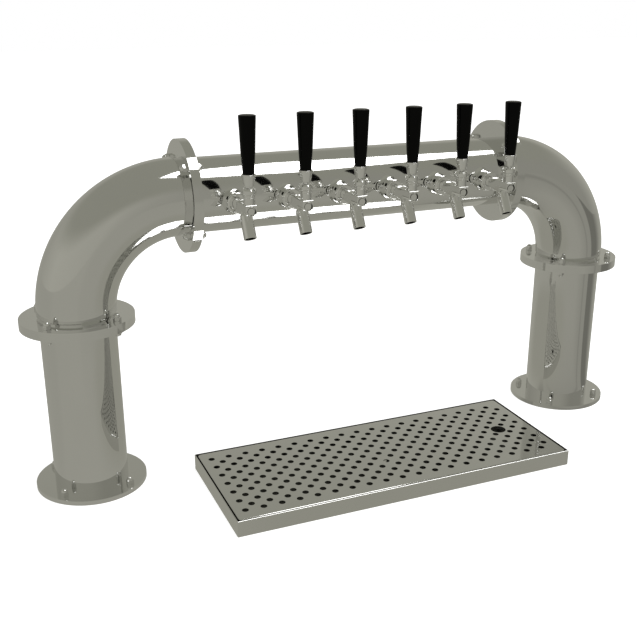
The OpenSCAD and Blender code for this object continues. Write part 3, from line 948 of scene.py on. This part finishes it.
class TOWER_OT_joint_studs(bpy.types.Operator):
    """Makes the studs of the flange joints"""

    bl_idname = "beer_tower.joint_studs"
    bl_label = "Joint studs"

    def execute(self, context):
        sizes = context.scene.tower_sizes
        radius = sizes.bolt_diameter / 2
        reach_into_nut = 0.010
        half = sizes.flange_thickness + reach_into_nut
        chamfer = 0.0008
        tip = radius - chamfer
        rings = [(tip, -half), (radius, -half + chamfer), (radius, half - chamfer), (tip, half)]
        stud = turned("stud", rings, 32)
        smooth(stud, 25)
        copies = []
        for location, rotation in joint_frames():
            for x, y in bolt_spots():
                copy = copy_of(stud, "stud_copy")
                place(copy, (x, y, 0))
                place(copy, location, rotation)
                copies.append(copy)
        drop(stud)
        group = join(copies, "joint_studs_finish")
        finish(group, steel(), "root", ["joint_studs"])
        return {"FINISHED"}


# Taps

def spread_over_taps(shape, name):
    """Copies one tap's piece to every tap and joins the copies."""
    copies = []
    for number in TAPS:
        copy = copy_of(shape, "copy")
        copies.append(place(copy, (tap_x(number), 0, 0)))
    drop(shape)
    return join(copies, name)


def one_for_each_tap(shape, start, body_start=None):
    """Makes a piece of its own for every tap, which rides on that tap's body or on the root."""
    for number in TAPS:
        node = "%s_%d" % (start, number)
        body = "%s_%d" % (body_start, number) if body_start else "root"
        copy = place(copy_of(shape, node + "_finish"), (tap_x(number), 0, 0))
        ride_on(copy, body, [node])
    drop(shape)


class TOWER_OT_shank_collars(bpy.types.Operator):
    """Makes the bell-shaped collars between the beam and the taps"""

    bl_idname = "beer_tower.shank_collars"
    bl_label = "Shank collars"

    def execute(self, context):
        sizes = context.scene.tower_sizes
        front = 0.091
        foot = 0.071
        bell = [
            (0.0255, foot), (0.0243, 0.0730), (0.0231, 0.0752), (0.0221, 0.0775), (0.0213, 0.0800),
            (0.0207, 0.0825), (0.0203, 0.0850), (0.0201, 0.0875),
        ]
        lip = [(0.0200, front - 0.0008), (0.0198, front - 0.0003), (0.0194, front)]
        rings = [(SHANK_HOLE, foot)] + bell + lip + [(SHANK_HOLE, front)]
        collar = turned("collar", rings, TURNED_SIDES, ends="bridge")
        along_tap(collar)
        hairline = 0.00005
        seat = sizes.tube_diameter / 2 + hairline
        tube = rod("tube", seat, -0.1, 0.1, TUBE_SIDES)
        place(tube, (0, 0, sizes.beam_height), (0, math.pi / 2, 0))
        combine(collar, tube, "DIFFERENCE")
        smooth(collar)
        group = spread_over_taps(collar, "shank_collars_finish")
        finish(group, chrome(), "root", ["shank_collars"])
        return {"FINISHED"}


class TOWER_OT_coupling_nuts(bpy.types.Operator):
    """Makes the coupling nuts with their spanner slots"""

    bl_idname = "beer_tower.coupling_nuts"
    bl_label = "Coupling nuts"

    def execute(self, context):
        start = 0.094
        end = start + 0.018
        rim = 0.0215
        back_bore = 0.0143
        front_bore = 0.0117
        lip = 0.0035
        slots = 6
        slot_floor = 0.0189
        slot_half = 0.00325
        profile = [(back_bore, start), (rim, start), (rim, end), (front_bore, end)]
        back_edge = soften([profile[0], profile[1], profile[2]], 0.0008, 3)
        shoulder = soften([back_edge[-2], profile[2], profile[3]], 0.0042, 8)
        rings = back_edge[:-1] + shoulder[1:] + [(front_bore, end - lip), (back_bore, end - lip)]
        nut = turned("coupling", rings, 128, ends="bridge")
        for index in range(slots):
            slot = block(
                "slot",
                (slot_floor, -slot_half, start + 0.0045),
                (0.024, slot_half, start + 0.0135),
            )
            bevel_edges(slot, lambda a, b: a.x < 0.02 and b.x < 0.02, 0.0006, 2)
            place(slot, (0, 0, 0), (0, 0, 2 * math.pi * (index + 0.5) / slots))
            combine(nut, slot, "DIFFERENCE")
        along_tap(nut)
        smooth(nut, 25)

        # The slot faces get painted shade: a dark material that stands in for the shade inside the spanner
        # slots.
        def in_slot(spot):
            radius, reach = round_tap(spot)
            return 0.0165 < radius < 0.0212 and start + 0.004 < reach < start + 0.014

        nut.data.materials.append(chrome())
        darken(nut, in_slot, painted_shade_metal())
        group = spread_over_taps(nut, "coupling_nuts_finish")
        ride_on(group, "root", ["coupling_nuts"])
        return {"FINISHED"}


class TOWER_OT_faucet_bodies(bpy.types.Operator):
    """Makes the forged faucet bodies with their spouts"""

    bl_idname = "beer_tower.faucet_bodies"
    bl_label = "Faucet bodies"

    def execute(self, context):
        taps = context.scene.tap_sizes
        height = context.scene.tower_sizes.beam_height
        reach = taps.reach
        shank_front = 0.106
        flare_start = 0.115
        block_start = 0.150
        front = reach + 0.0125
        half = 0.0112
        top = 0.0125
        waist = 0.0114
        flared = 0.0155
        flare_end = 0.164
        flare_steps = 16
        rings = [(waist, flare_start)]
        for index in range(1, flare_steps + 1):
            share = index / flare_steps
            width = waist + (flared - waist) * share
            rings.append((width, flare_start + (block_start - flare_start) * share))
        rings += soften([(flared, block_start), (flared, flare_end), (0.0095, flare_end)], 0.002, 4)[1:]
        body = turned("faucet", rings, 128)
        along_tap(body)
        flats = block("flats", (-half, -0.2, height - 0.04), (half, -0.1, height + 0.04))
        combine(body, flats, "INTERSECT")
        forged = block("forged", (-half, -front, height - half), (half, -block_start, height + top))
        bevel_edges(
            forged,
            lambda a, b: abs(a.y - b.y) > 0.01 and max(a.z, b.z) < height,
            half * 0.999,
            24,
        )
        bevel_edges(
            forged,
            lambda a, b: abs(a.y - b.y) > 0.01 and min(a.z, b.z) > height + 0.012,
            0.0025,
            6,
        )
        bevel_edges(forged, lambda a, b: max(a.y, b.y) < -front + 0.00001, 0.0006, 3)
        combine(body, forged, "UNION")
        collar_end = 0.1083
        rings = [(0.0139, shank_front), (0.0139, collar_end), (waist, collar_end), (waist, 0.116)]
        neck = turned("neck", rings, TURNED_SIDES)
        combine(body, along_tap(neck), "UNION")
        lean = taps.spout_lean
        spot = (0, -(reach - 0.0198), height - 0.0169)
        turn = (math.pi - lean, 0, 0)
        spout_radius = 0.0125
        spout_end = 0.0433
        rings = []
        for index in range(1, 12):
            angle = math.radians(-90 + 90 * index / 12)
            rings.append((spout_radius * math.cos(angle), spout_radius * math.sin(angle)))
        rings += soften([(spout_radius, 0.0), (spout_radius, spout_end), (0.009, spout_end)], 0.0006, 3)
        spout = turned("spout", rings, TURNED_SIDES)
        combine(body, place(spout, spot, turn), "UNION")
        socket = rod("socket", 0.0097, height + 0.005, height + top + 0.0136, 64)
        combine(body, place(socket, (0, -reach, 0)), "UNION")
        rings = [(0.0098, 0.0), (0.0098, 0.0427), (0.0104, 0.0443), (0.0104, 0.046)]
        bore = turned("bore", rings, TURNED_SIDES)
        combine(body, place(bore, spot, turn), "DIFFERENCE")
        seat_end = 0.124
        rings = [(0.0095, 0.1), (0.0095, seat_end), (0.0063, seat_end), (0.0063, 0.1875)]
        chamber = turned("chamber", rings, 64)
        combine(body, along_tap(chamber), "DIFFERENCE")
        floor = front - 0.0033
        past = front + 0.002
        disc = floor + 0.0014
        recess_wall = 0.0094
        rings = [
            (0.0072, floor - 0.0006), (0.0089, floor - 0.0006), (recess_wall, floor),
            (recess_wall, front - 0.0004), (0.0100, front + 0.0002), (0.0100, past),
            (0.0060, past), (0.0060, disc), (0.0066, disc), (0.0072, floor + 0.0008),
        ]
        recess = turned("recess", rings, TURNED_SIDES, ends="bridge")
        combine(recess, rod("core", 0.0063, disc, past, TURNED_SIDES), "UNION")
        combine(body, along_tap(recess), "DIFFERENCE")
        tail_half = 0.0034
        tail_way = block(
            "tail_way",
            (-tail_half, -reach - tail_half, height),
            (tail_half, -reach + 0.016, height + top + 0.02),
        )
        combine(body, tail_way, "DIFFERENCE")
        smooth(body, 25)

        # The recess wall gets painted shade: a dark material that stands in for the shade inside the front
        # recess.
        def in_recess(spot):
            radius, reach_here = round_tap(spot)
            on_wall = recess_wall - 0.0004 < radius < recess_wall + 0.0001
            return on_wall and floor - 0.0001 < reach_here < front - 0.0003

        body.data.materials.append(chrome())
        darken(body, in_recess, painted_shade_metal())
        one_for_each_tap(body, "faucet_body")
        return {"FINISHED"}


class TOWER_OT_bonnet_nuts(bpy.types.Operator):
    """Makes the turned nuts that hold the levers' balls"""

    bl_idname = "beer_tower.bonnet_nuts"
    bl_label = "Bonnet nuts"

    def execute(self, context):
        taps = context.scene.tap_sizes
        height = context.scene.tower_sizes.beam_height
        outline = [
            (0.00985, 0.0), (0.0113, 0.0), (0.0113, 0.0131), (0.0124, 0.0138), (0.0124, 0.0176),
            (0.0116, 0.0186), (0.0136, 0.0202), (0.0136, 0.0266), (0.0114, 0.0296), (0.0096, 0.0296),
            (0.0074, 0.0232), (0.0088, 0.0176), (0.0097, 0.0140), (0.00985, 0.0120),
        ]
        rings = soften(outline, 0.0005, 3)
        nut = turned("bonnet", rings, TURNED_SIDES, ends="bridge")
        notches = 8
        notch_half = 0.0014
        for index in range(notches):
            notch = block("notch", (0.0117, -notch_half, 0.0128), (0.0140, notch_half, 0.0182))
            bevel_edges(notch, lambda a, b: a.x < 0.012 and b.x < 0.012, 0.0004, 2)
            place(notch, (0, 0, 0), (0, 0, 2 * math.pi * (index + 0.5) / notches))
            combine(nut, notch, "DIFFERENCE")
        place(nut, (0, -taps.reach, height + 0.0125))
        smooth(nut, 25)
        group = spread_over_taps(nut, "bonnet_nuts_finish")
        finish(group, chrome(), "root", ["bonnet_nuts"])
        return {"FINISHED"}


class TOWER_OT_levers(bpy.types.Operator):
    """Makes the ball levers under the handles"""

    bl_idname = "beer_tower.levers"
    bl_label = "Levers"

    def execute(self, context):
        taps = context.scene.tap_sizes
        height = context.scene.tower_sizes.beam_height + taps.pivot_rise
        tip = 0.003
        tip_height = -0.0271
        tail = 0.0022
        ball = 0.0085
        stem = 0.004
        stud = 0.0047
        stud_foot = 0.0166
        stud_top = 0.0566
        rings = []
        for index in range(1, 9):
            angle = math.radians(-90 + 130 * index / 8)
            rings.append((tip * math.cos(angle), tip_height + tip * math.sin(angle)))
        start = math.asin(tail / ball)
        stop = math.asin(stem / ball)
        rings.append((tail, -ball * math.cos(start)))
        for index in range(1, 24):
            angle = start + (math.pi - start - stop) * index / 24
            rings.append((ball * math.sin(angle), -ball * math.cos(angle)))
        rings += [(stem, ball * math.cos(stop)), (stem, stud_foot), (stud, stud_foot), (stud, stud_top)]
        lever = turned("lever", rings, 64)
        place(lever, (0, -taps.reach, height))
        smooth(lever)
        lever.data.materials.append(chrome())
        one_for_each_tap(lever, "lever", "tap")
        return {"FINISHED"}


class TOWER_OT_ferrules(bpy.types.Operator):
    """Makes the ferrules between the levers and the handles"""

    bl_idname = "beer_tower.ferrules"
    bl_label = "Ferrules"

    def execute(self, context):
        taps = context.scene.tap_sizes
        foot = context.scene.tower_sizes.beam_height + taps.pivot_rise + 0.0166
        outline = [
            (0.0048, 0.0), (0.0098, 0.0), (0.0132, 0.0204), (0.0137, 0.0204), (0.0137, 0.0228),
            (0.0112, 0.0228), (0.0112, 0.0210), (0.0048, 0.0210),
        ]
        rings = soften(outline, 0.0004, 3)
        ferrule = turned("ferrule", rings, TURNED_SIDES, ends="bridge")
        place(ferrule, (0, -taps.reach, foot))
        smooth(ferrule, 25)
        ferrule.data.materials.append(chrome())
        one_for_each_tap(ferrule, "ferrule", "tap")
        return {"FINISHED"}


class TOWER_OT_tap_handles(bpy.types.Operator):
    """Makes the black tap handles"""

    bl_idname = "beer_tower.tap_handles"
    bl_label = "Tap handles"

    def execute(self, context):
        taps = context.scene.tap_sizes
        foot = context.scene.tower_sizes.beam_height + taps.pivot_rise + 0.0376
        widths = [
            (0.0110, 0.0018), (0.0119, 0.0130), (0.0130, 0.0290), (0.01395, 0.0435), (0.0147, 0.0620),
            (0.0154, 0.0811), (0.0161, 0.0960), (0.0165, 0.1060),
        ]
        outline = [(0.0048, 0.0), (0.0110, 0.0)] + widths + [(0.0165, 0.1094), (0.0130, 0.1105)]
        crown = [(0.0100, 0.11075), (0.0060, 0.1109), (0.0020, 0.1110), (0.0001, 0.1110)]
        rings = soften(outline, 0.0010, 5) + crown
        handle = turned("handle", rings, TURNED_SIDES)
        place(handle, (0, -taps.reach, foot))
        smooth(handle, 35)
        handle.data.materials.append(black_gloss())
        one_for_each_tap(handle, "tap_handle", "tap")
        return {"FINISHED"}


# Drip tray

def upright(first, second):
    """Tells whether an edge of the tray stands upright, from its end points."""
    return abs(first.z - second.z) > 0.01


class TOWER_OT_tray_pan(bpy.types.Operator):
    """Makes the pan of the drip tray"""

    bl_idname = "beer_tower.tray_pan"
    bl_label = "Tray pan"

    def execute(self, context):
        sizes = context.scene.tray_sizes
        centre = [(TRAY_BOX[0][axis] + TRAY_BOX[1][axis]) / 2 for axis in range(2)]
        low = (centre[0] - sizes.length / 2, centre[1] - sizes.depth / 2, 0.0)
        high = (centre[0] + sizes.length / 2, centre[1] + sizes.depth / 2, sizes.height)
        floor = 0.012
        wall = sizes.sheet
        corner = 0.0015
        rim = 0.0013
        pan = block("tray_pan_finish", low, high)
        bevel_edges(pan, upright, corner, 4, by_edge=True)
        bevel_edges(pan, lambda a, b: min(a.z, b.z) > high[2] - FLUSH, rim, 4, by_edge=True)
        well = block(
            "well",
            (low[0] + wall, low[1] + wall, floor + wall),
            (high[0] - wall, high[1] - wall, high[2] + 0.01),
        )
        under = block(
            "under",
            (low[0] + wall, low[1] + wall, -0.01),
            (high[0] - wall, high[1] - wall, floor),
        )
        combine(pan, well, "DIFFERENCE")
        combine(pan, under, "DIFFERENCE")
        middle = centre[1]
        drain = place(rod("drain", 0.0127, 0.001, floor + 0.0005, 64), (0, middle, 0))
        combine(pan, drain, "UNION")
        bore = place(rod("bore", 0.0095, -0.01, floor + wall + 0.01, 64), (0, middle, 0))
        combine(pan, bore, "DIFFERENCE")
        smooth(pan, 8)
        skin = 0.0002
        half_length = max(abs(low[0]), abs(high[0])) - wall + skin
        half_depth = sizes.depth / 2 - wall + skin

        # The well's floor and inner walls get painted shade: a darker material that stands in for the
        # shade in the pan.
        def in_well(spot):
            inside = abs(spot.x) < half_length and abs(spot.y - middle) < half_depth
            return inside and floor + wall - 2 * skin < spot.z < high[2] - 0.002

        pan.data.materials.append(tray_steel())
        darken(pan, in_well, painted_shade_well())
        ride_on(pan, "root", ["tray_pan"])
        return {"FINISHED"}


class TOWER_OT_tray_insert(bpy.types.Operator):
    """Makes the perforated insert of the drip tray"""

    bl_idname = "beer_tower.tray_insert"
    bl_label = "Tray insert"

    def execute(self, context):
        sizes = context.scene.tray_sizes
        low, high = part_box("tray_insert")
        wall = sizes.sheet
        corner = 0.008
        rim = 0.0020
        insert = block("tray_insert_finish", low, high)
        bevel_edges(insert, upright, corner, 8, by_edge=True)
        bevel_edges(insert, lambda a, b: min(a.z, b.z) > high[2] - FLUSH, rim, 5, by_edge=True)
        under = block(
            "under",
            (low[0] + wall, low[1] + wall, low[2] - 0.01),
            (high[0] - wall, high[1] - wall, high[2] - wall),
        )
        bevel_edges(under, upright, corner - wall, 6, by_edge=True)
        combine(insert, under, "DIFFERENCE")
        middle = (low[1] + high[1]) / 2
        pitch = sizes.hole_pitch
        radius = sizes.hole_diameter / 2
        top = high[2]
        below = top - wall - 0.002
        above = top + 0.0004
        rings = [(radius, below), (radius, top - 0.0004), (radius + 0.0004, top), (radius + 0.0008, above)]
        hole = turned("hole", rings, 24)
        rows = 13
        columns = 19
        middle_row = rows // 2
        middle_column = columns // 2
        finger_column = 17
        copies = []
        for row in range(rows):
            shift = -pitch / 4 if row % 2 == 0 else pitch / 4
            for column in range(columns):
                if row == middle_row and column == finger_column:
                    continue
                copy = copy_of(hole, "hole_copy")
                x = (column - middle_column) * pitch + shift
                y = middle + (row - middle_row) * pitch / 2
                copy.location = (x, y, 0)
                copies.append(copy)
        drop(hole)
        wide = 0.0165
        rings = [(wide, below), (wide, top - 0.0005), (wide + 0.0005, top), (wide + 0.0009, above)]
        finger = turned("finger", rings, 64)
        finger.location = ((finger_column - middle_column) * pitch - pitch / 4, middle, 0)
        copies.append(finger)
        cutter = join(copies, "holes")
        place(cutter, cutter.location, (0, 0, 0))
        combine(insert, cutter, "DIFFERENCE")
        smooth(insert, 8)
        margin = 0.003

        # The hole walls get painted shade: a dark material that stands in for the shade inside the holes.
        def in_hole(spot):
            inside_x = low[0] + margin < spot.x < high[0] - margin
            inside_y = low[1] + margin < spot.y < high[1] - margin
            return inside_x and inside_y and top - wall + FLUSH < spot.z < top - FLUSH

        insert.data.materials.append(tray_steel())
        darken(insert, in_hole, painted_shade_metal())
        ride_on(insert, "tray_insert", ["tray_insert"])
        return {"FINISHED"}


# Inner pieces that keep their CAD shape

class TOWER_OT_inner_pieces(bpy.types.Operator):
    """Gives the pieces that keep their CAD shape their materials"""

    bl_idname = "beer_tower.inner_pieces"
    bl_label = "Inner pieces"

    def execute(self, context):
        plan = {
            "shanks": chrome(),
            "shank_lock_nuts": chrome(),
            "cold_block": cast_block(),
            "beer_lines": line_steel(),
            "cooling_line": copper(),
            "column_insulation": foam(),
            "beam_insulation": foam(),
        }
        for number in TAPS:
            plan["valve_shaft_%d" % number] = turned_steel()
        for node, material in plan.items():
            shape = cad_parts[node]
            for index in range(len(shape.material_slots)):
                shape.material_slots[index].material = material
            if not shape.material_slots:
                shape.data.materials.append(material)
        return {"FINISHED"}


# Surroundings that the metal mirrors

# Grey levels of the room's sides, low down and near the horizon, and of what stands on its floor
LOW_LEFT = 0.357
LOW_FRONT = 0.290
LOW_RIGHT = 0.398
LOW_BACK = 0.345
FAR_LEFT = 0.405
FAR_FRONT = 0.280
FAR_RIGHT = 0.410
FAR_BACK = 0.335
NARROW_POST = 0.230
DARK_DOORWAY = 0.169

# Where each level starts and ends, as a share of a full turn from the left side over the front
FLOOR_TONES = (
    (0.000, LOW_BACK), (0.040, LOW_LEFT), (0.225, LOW_LEFT), (0.330, LOW_FRONT), (0.3375, NARROW_POST),
    (0.346, LOW_FRONT), (0.387, LOW_FRONT), (0.391, DARK_DOORWAY), (0.455, DARK_DOORWAY),
    (0.512, 0.320), (0.583, 0.380), (0.645, LOW_RIGHT), (0.800, LOW_BACK), (1.000, LOW_BACK),
)
SKY_TONES = (
    (0.000, FAR_LEFT), (0.215, 0.376), (0.320, FAR_FRONT), (0.450, FAR_FRONT), (0.583, FAR_RIGHT),
    (0.833, FAR_BACK), (1.000, FAR_LEFT),
)
# How much less green and blue than red the mirrored room has
ROOM_TINT = (1.0, 0.99, 0.86)


def mirror_rays(nodes, links):
    """The ray kinds, and a value that is 1 for what metal or glass shows."""
    path = nodes.new("ShaderNodeLightPath")
    mirror = nodes.new("ShaderNodeMath")
    mirror.operation = "ADD"
    mirror.use_clamp = True
    links.new(path.outputs["Is Glossy Ray"], mirror.inputs[0])
    links.new(path.outputs["Is Transmission Ray"], mirror.inputs[1])
    return path, mirror


def room_colour(nodes, links, room_tones, reach, start, end, middle, depth):
    """Colour by direction from the nearer column, fading to the middle colour between start and end."""
    outside = 0.68
    coords = nodes.new("ShaderNodeTexCoord")
    around = nodes.new("ShaderNodeTexGradient")
    around.gradient_type = "RADIAL"
    parts = nodes.new("ShaderNodeSeparateXYZ")
    links.new(coords.outputs["Object"], parts.inputs["Vector"])
    centre = nodes.new("ShaderNodeMapRange")
    centre.inputs["From Min"].default_value = -outside
    centre.inputs["From Max"].default_value = outside
    centre.inputs["To Min"].default_value = -reach
    centre.inputs["To Max"].default_value = reach
    links.new(parts.outputs["X"], centre.inputs["Value"])
    offset = nodes.new("ShaderNodeMath")
    offset.operation = "SUBTRACT"
    links.new(parts.outputs["X"], offset.inputs[0])
    links.new(centre.outputs["Result"], offset.inputs[1])
    way = nodes.new("ShaderNodeCombineXYZ")
    links.new(offset.outputs["Value"], way.inputs["X"])
    links.new(parts.outputs["Y"], way.inputs["Y"])
    links.new(way.outputs["Vector"], around.inputs["Vector"])
    tones = nodes.new("ShaderNodeValToRGB")
    ramp = tones.color_ramp
    for index, (place_on_ramp, tone) in enumerate(room_tones):
        if index < 2:
            stop = ramp.elements[index]
            stop.position = place_on_ramp
        else:
            stop = ramp.elements.new(place_on_ramp)
        stop.color = (*[tone * share for share in ROOM_TINT], 1.0)
    links.new(around.outputs["Fac"], tones.inputs["Fac"])
    distance = nodes.new("ShaderNodeVectorMath")
    distance.operation = "LENGTH"
    flat = nodes.new("ShaderNodeVectorMath")
    flat.operation = "MULTIPLY"
    flat.inputs[1].default_value = depth
    links.new(coords.outputs["Object"], flat.inputs[0])
    links.new(flat.outputs["Vector"], distance.inputs[0])
    fade = nodes.new("ShaderNodeMapRange")
    fade.interpolation_type = "SMOOTHSTEP"
    fade.inputs["From Min"].default_value = start
    fade.inputs["From Max"].default_value = end
    links.new(distance.outputs["Value"], fade.inputs["Value"])
    mixed = nodes.new("ShaderNodeMix")
    mixed.data_type = "RGBA"
    mixed.inputs["B"].default_value = (*middle, 1.0)
    links.new(fade.outputs["Result"], mixed.inputs["Factor"])
    links.new(tones.outputs["Color"], mixed.inputs["A"])
    return mixed.outputs["Result"]


# Studio

class TOWER_OT_studio(bpy.types.Operator):
    """Makes the floor, the world, the soft light and the camera"""

    bl_idname = "beer_tower.studio"
    bl_label = "Studio"

    def execute(self, context):
        self.floor()
        self.world(context.scene)
        self.lamps()
        self.camera(context.scene)
        context.scene.view_settings.view_transform = "Standard"
        return {"FINISHED"}

    def floor(self):
        clear_selection()
        below_bar = -0.0004
        bpy.ops.mesh.primitive_plane_add(size=30, location=(0, 0, below_bar))
        floor = name_new("Floor")
        material = bpy.data.materials.new("Pale floor")
        material.use_nodes = True
        nodes = material.node_tree.nodes
        links = material.node_tree.links
        nodes.clear()
        out = nodes.new("ShaderNodeOutputMaterial")
        matt = nodes.new("ShaderNodeBsdfDiffuse")
        matt.inputs["Color"].default_value = (0.8, 0.8, 0.8, 1.0)
        lift = nodes.new("ShaderNodeEmission")
        lift.inputs["Strength"].default_value = 0.74
        lit = nodes.new("ShaderNodeAddShader")
        links.new(matt.outputs[0], lit.inputs[0])
        links.new(lift.outputs[0], lit.inputs[1])
        plain = nodes.new("ShaderNodeEmission")
        near = bpy.context.scene.tower_finishes.mirrored_floor
        room = room_colour(
            nodes, links, FLOOR_TONES,
            reach=0.597, start=0.95, end=0.55, middle=near, depth=(1.6, 1.0, 0.0),
        )
        links.new(room, plain.inputs["Color"])
        path, mirror = mirror_rays(nodes, links)
        seen = nodes.new("ShaderNodeMixShader")
        links.new(path.outputs["Is Camera Ray"], seen.inputs[0])
        links.new(matt.outputs[0], seen.inputs[1])
        links.new(lit.outputs[0], seen.inputs[2])
        mixed = nodes.new("ShaderNodeMixShader")
        links.new(mirror.outputs[0], mixed.inputs[0])
        links.new(seen.outputs[0], mixed.inputs[1])
        links.new(plain.outputs[0], mixed.inputs[2])
        links.new(mixed.outputs[0], out.inputs["Surface"])
        floor.data.materials.append(material)

    def world(self, scene):
        world = bpy.data.worlds.new("Studio")
        scene.world = world
        world.use_nodes = True
        nodes = world.node_tree.nodes
        links = world.node_tree.links
        nodes.clear()
        out = nodes.new("ShaderNodeOutputWorld")
        air = nodes.new("ShaderNodeBackground")
        path, mirror = mirror_rays(nodes, links)
        level = nodes.new("ShaderNodeMix")
        level.data_type = "RGBA"
        level.inputs["A"].default_value = (0.55, 0.55, 0.55, 1.0)
        high = scene.tower_finishes.mirrored_sky
        room = room_colour(
            nodes, links, SKY_TONES,
            reach=0.0, start=0.30, end=0.62, middle=high, depth=(0.0, 0.0, 1.0),
        )
        links.new(room, level.inputs["B"])
        links.new(mirror.outputs[0], level.inputs["Factor"])
        bright = nodes.new("ShaderNodeMix")
        bright.data_type = "RGBA"
        links.new(path.outputs["Is Camera Ray"], bright.inputs["Factor"])
        links.new(level.outputs["Result"], bright.inputs["A"])
        bright.inputs["B"].default_value = (1.0, 1.0, 1.0, 1.0)
        links.new(bright.outputs["Result"], air.inputs["Color"])
        links.new(air.outputs[0], out.inputs["Surface"])

    def lamps(self):
        clear_selection()
        bpy.ops.object.light_add(
            type="AREA", location=(7.74, -4.77, 20.0), rotation=(0, 0, math.radians(53))
        )
        lamp = bpy.context.object
        lamp.name = "Overhead soft light"
        side = 10.8
        watts_per_area = 12.8
        lamp.data.shape = "SQUARE"
        lamp.data.size = side
        lamp.data.energy = watts_per_area * side * side

    def camera(self, scene):
        """The photo's camera, with its focal length and its axis in pixels."""
        data = bpy.data.cameras.new("Camera")
        camera = bpy.data.objects.new("Camera", data)
        scene.collection.objects.link(camera)
        picture_width = 637
        picture_height = 638
        focal_length = 945.9
        middle_x = 327.65
        middle_y = 333.84
        yaw = math.radians(23.10)
        pitch = math.radians(20.04)
        roll = math.radians(0.06)
        spot = Vector((-0.8405, -1.8560, 0.9887))
        ahead = Vector((
            math.sin(yaw) * math.cos(pitch),
            math.cos(yaw) * math.cos(pitch),
            -math.sin(pitch),
        ))
        right = Vector((math.cos(yaw), -math.sin(yaw), 0))
        upright = right.cross(ahead)
        turn = Matrix((right, upright, -ahead)).transposed().to_4x4()
        camera.matrix_world = Matrix.Translation(spot) @ turn @ Matrix.Rotation(roll, 4, "Z")
        data.sensor_fit = "HORIZONTAL"
        data.sensor_width = 36
        data.lens = focal_length / picture_width * data.sensor_width
        data.shift_x = (picture_width / 2 - middle_x) / picture_width
        data.shift_y = (middle_y - picture_height / 2) / picture_width
        data.clip_start = 0.05
        scene.camera = camera


class TOWER_PT_panel(bpy.types.Panel):
    """Lists the tower's pieces"""

    bl_idname = "TOWER_PT_panel"
    bl_label = "Beer tower"
    bl_space_type = "VIEW_3D"
    bl_region_type = "UI"
    bl_category = "Beer Tower"

    def draw(self, context):
        layout_box = self.layout
        scene = context.scene
        for group in (scene.tower_sizes, scene.tap_sizes, scene.tray_sizes, scene.tower_finishes):
            box = layout_box.box()
            for key in group.__annotations__:
                box.prop(group, key)
        for operator in PIECES:
            layout_box.operator(operator.bl_idname)


PIECES = (
    TOWER_OT_studio,
    TOWER_OT_columns,
    TOWER_OT_elbows,
    TOWER_OT_beam,
    TOWER_OT_flanges,
    TOWER_OT_acorn_nuts,
    TOWER_OT_joint_studs,
    TOWER_OT_shank_collars,
    TOWER_OT_coupling_nuts,
    TOWER_OT_faucet_bodies,
    TOWER_OT_bonnet_nuts,
    TOWER_OT_levers,
    TOWER_OT_ferrules,
    TOWER_OT_tap_handles,
    TOWER_OT_tray_pan,
    TOWER_OT_tray_insert,
    TOWER_OT_inner_pieces,
)
GROUPS = (TowerSizes, TapSizes, TraySizes, TowerFinishes)


def register():
    for item in GROUPS + PIECES + (TOWER_PT_panel,):
        bpy.utils.register_class(item)
    bpy.types.Scene.tower_sizes = bpy.props.PointerProperty(type=TowerSizes)
    bpy.types.Scene.tap_sizes = bpy.props.PointerProperty(type=TapSizes)
    bpy.types.Scene.tray_sizes = bpy.props.PointerProperty(type=TraySizes)
    bpy.types.Scene.tower_finishes = bpy.props.PointerProperty(type=TowerFinishes)


def unregister():
    del bpy.types.Scene.tower_sizes
    del bpy.types.Scene.tap_sizes
    del bpy.types.Scene.tray_sizes
    del bpy.types.Scene.tower_finishes
    for item in reversed(GROUPS + PIECES + (TOWER_PT_panel,)):
        bpy.utils.unregister_class(item)


def main():
    register()
    bpy.ops.beer_tower.studio()
    bpy.ops.beer_tower.columns()
    bpy.ops.beer_tower.elbows()
    bpy.ops.beer_tower.beam()
    bpy.ops.beer_tower.flanges()
    bpy.ops.beer_tower.acorn_nuts()
    bpy.ops.beer_tower.joint_studs()
    bpy.ops.beer_tower.shank_collars()
    bpy.ops.beer_tower.coupling_nuts()
    bpy.ops.beer_tower.faucet_bodies()
    bpy.ops.beer_tower.bonnet_nuts()
    bpy.ops.beer_tower.levers()
    bpy.ops.beer_tower.ferrules()
    bpy.ops.beer_tower.tap_handles()
    bpy.ops.beer_tower.tray_pan()
    bpy.ops.beer_tower.tray_insert()
    bpy.ops.beer_tower.inner_pieces()


if __name__ == "__main__":
    main()
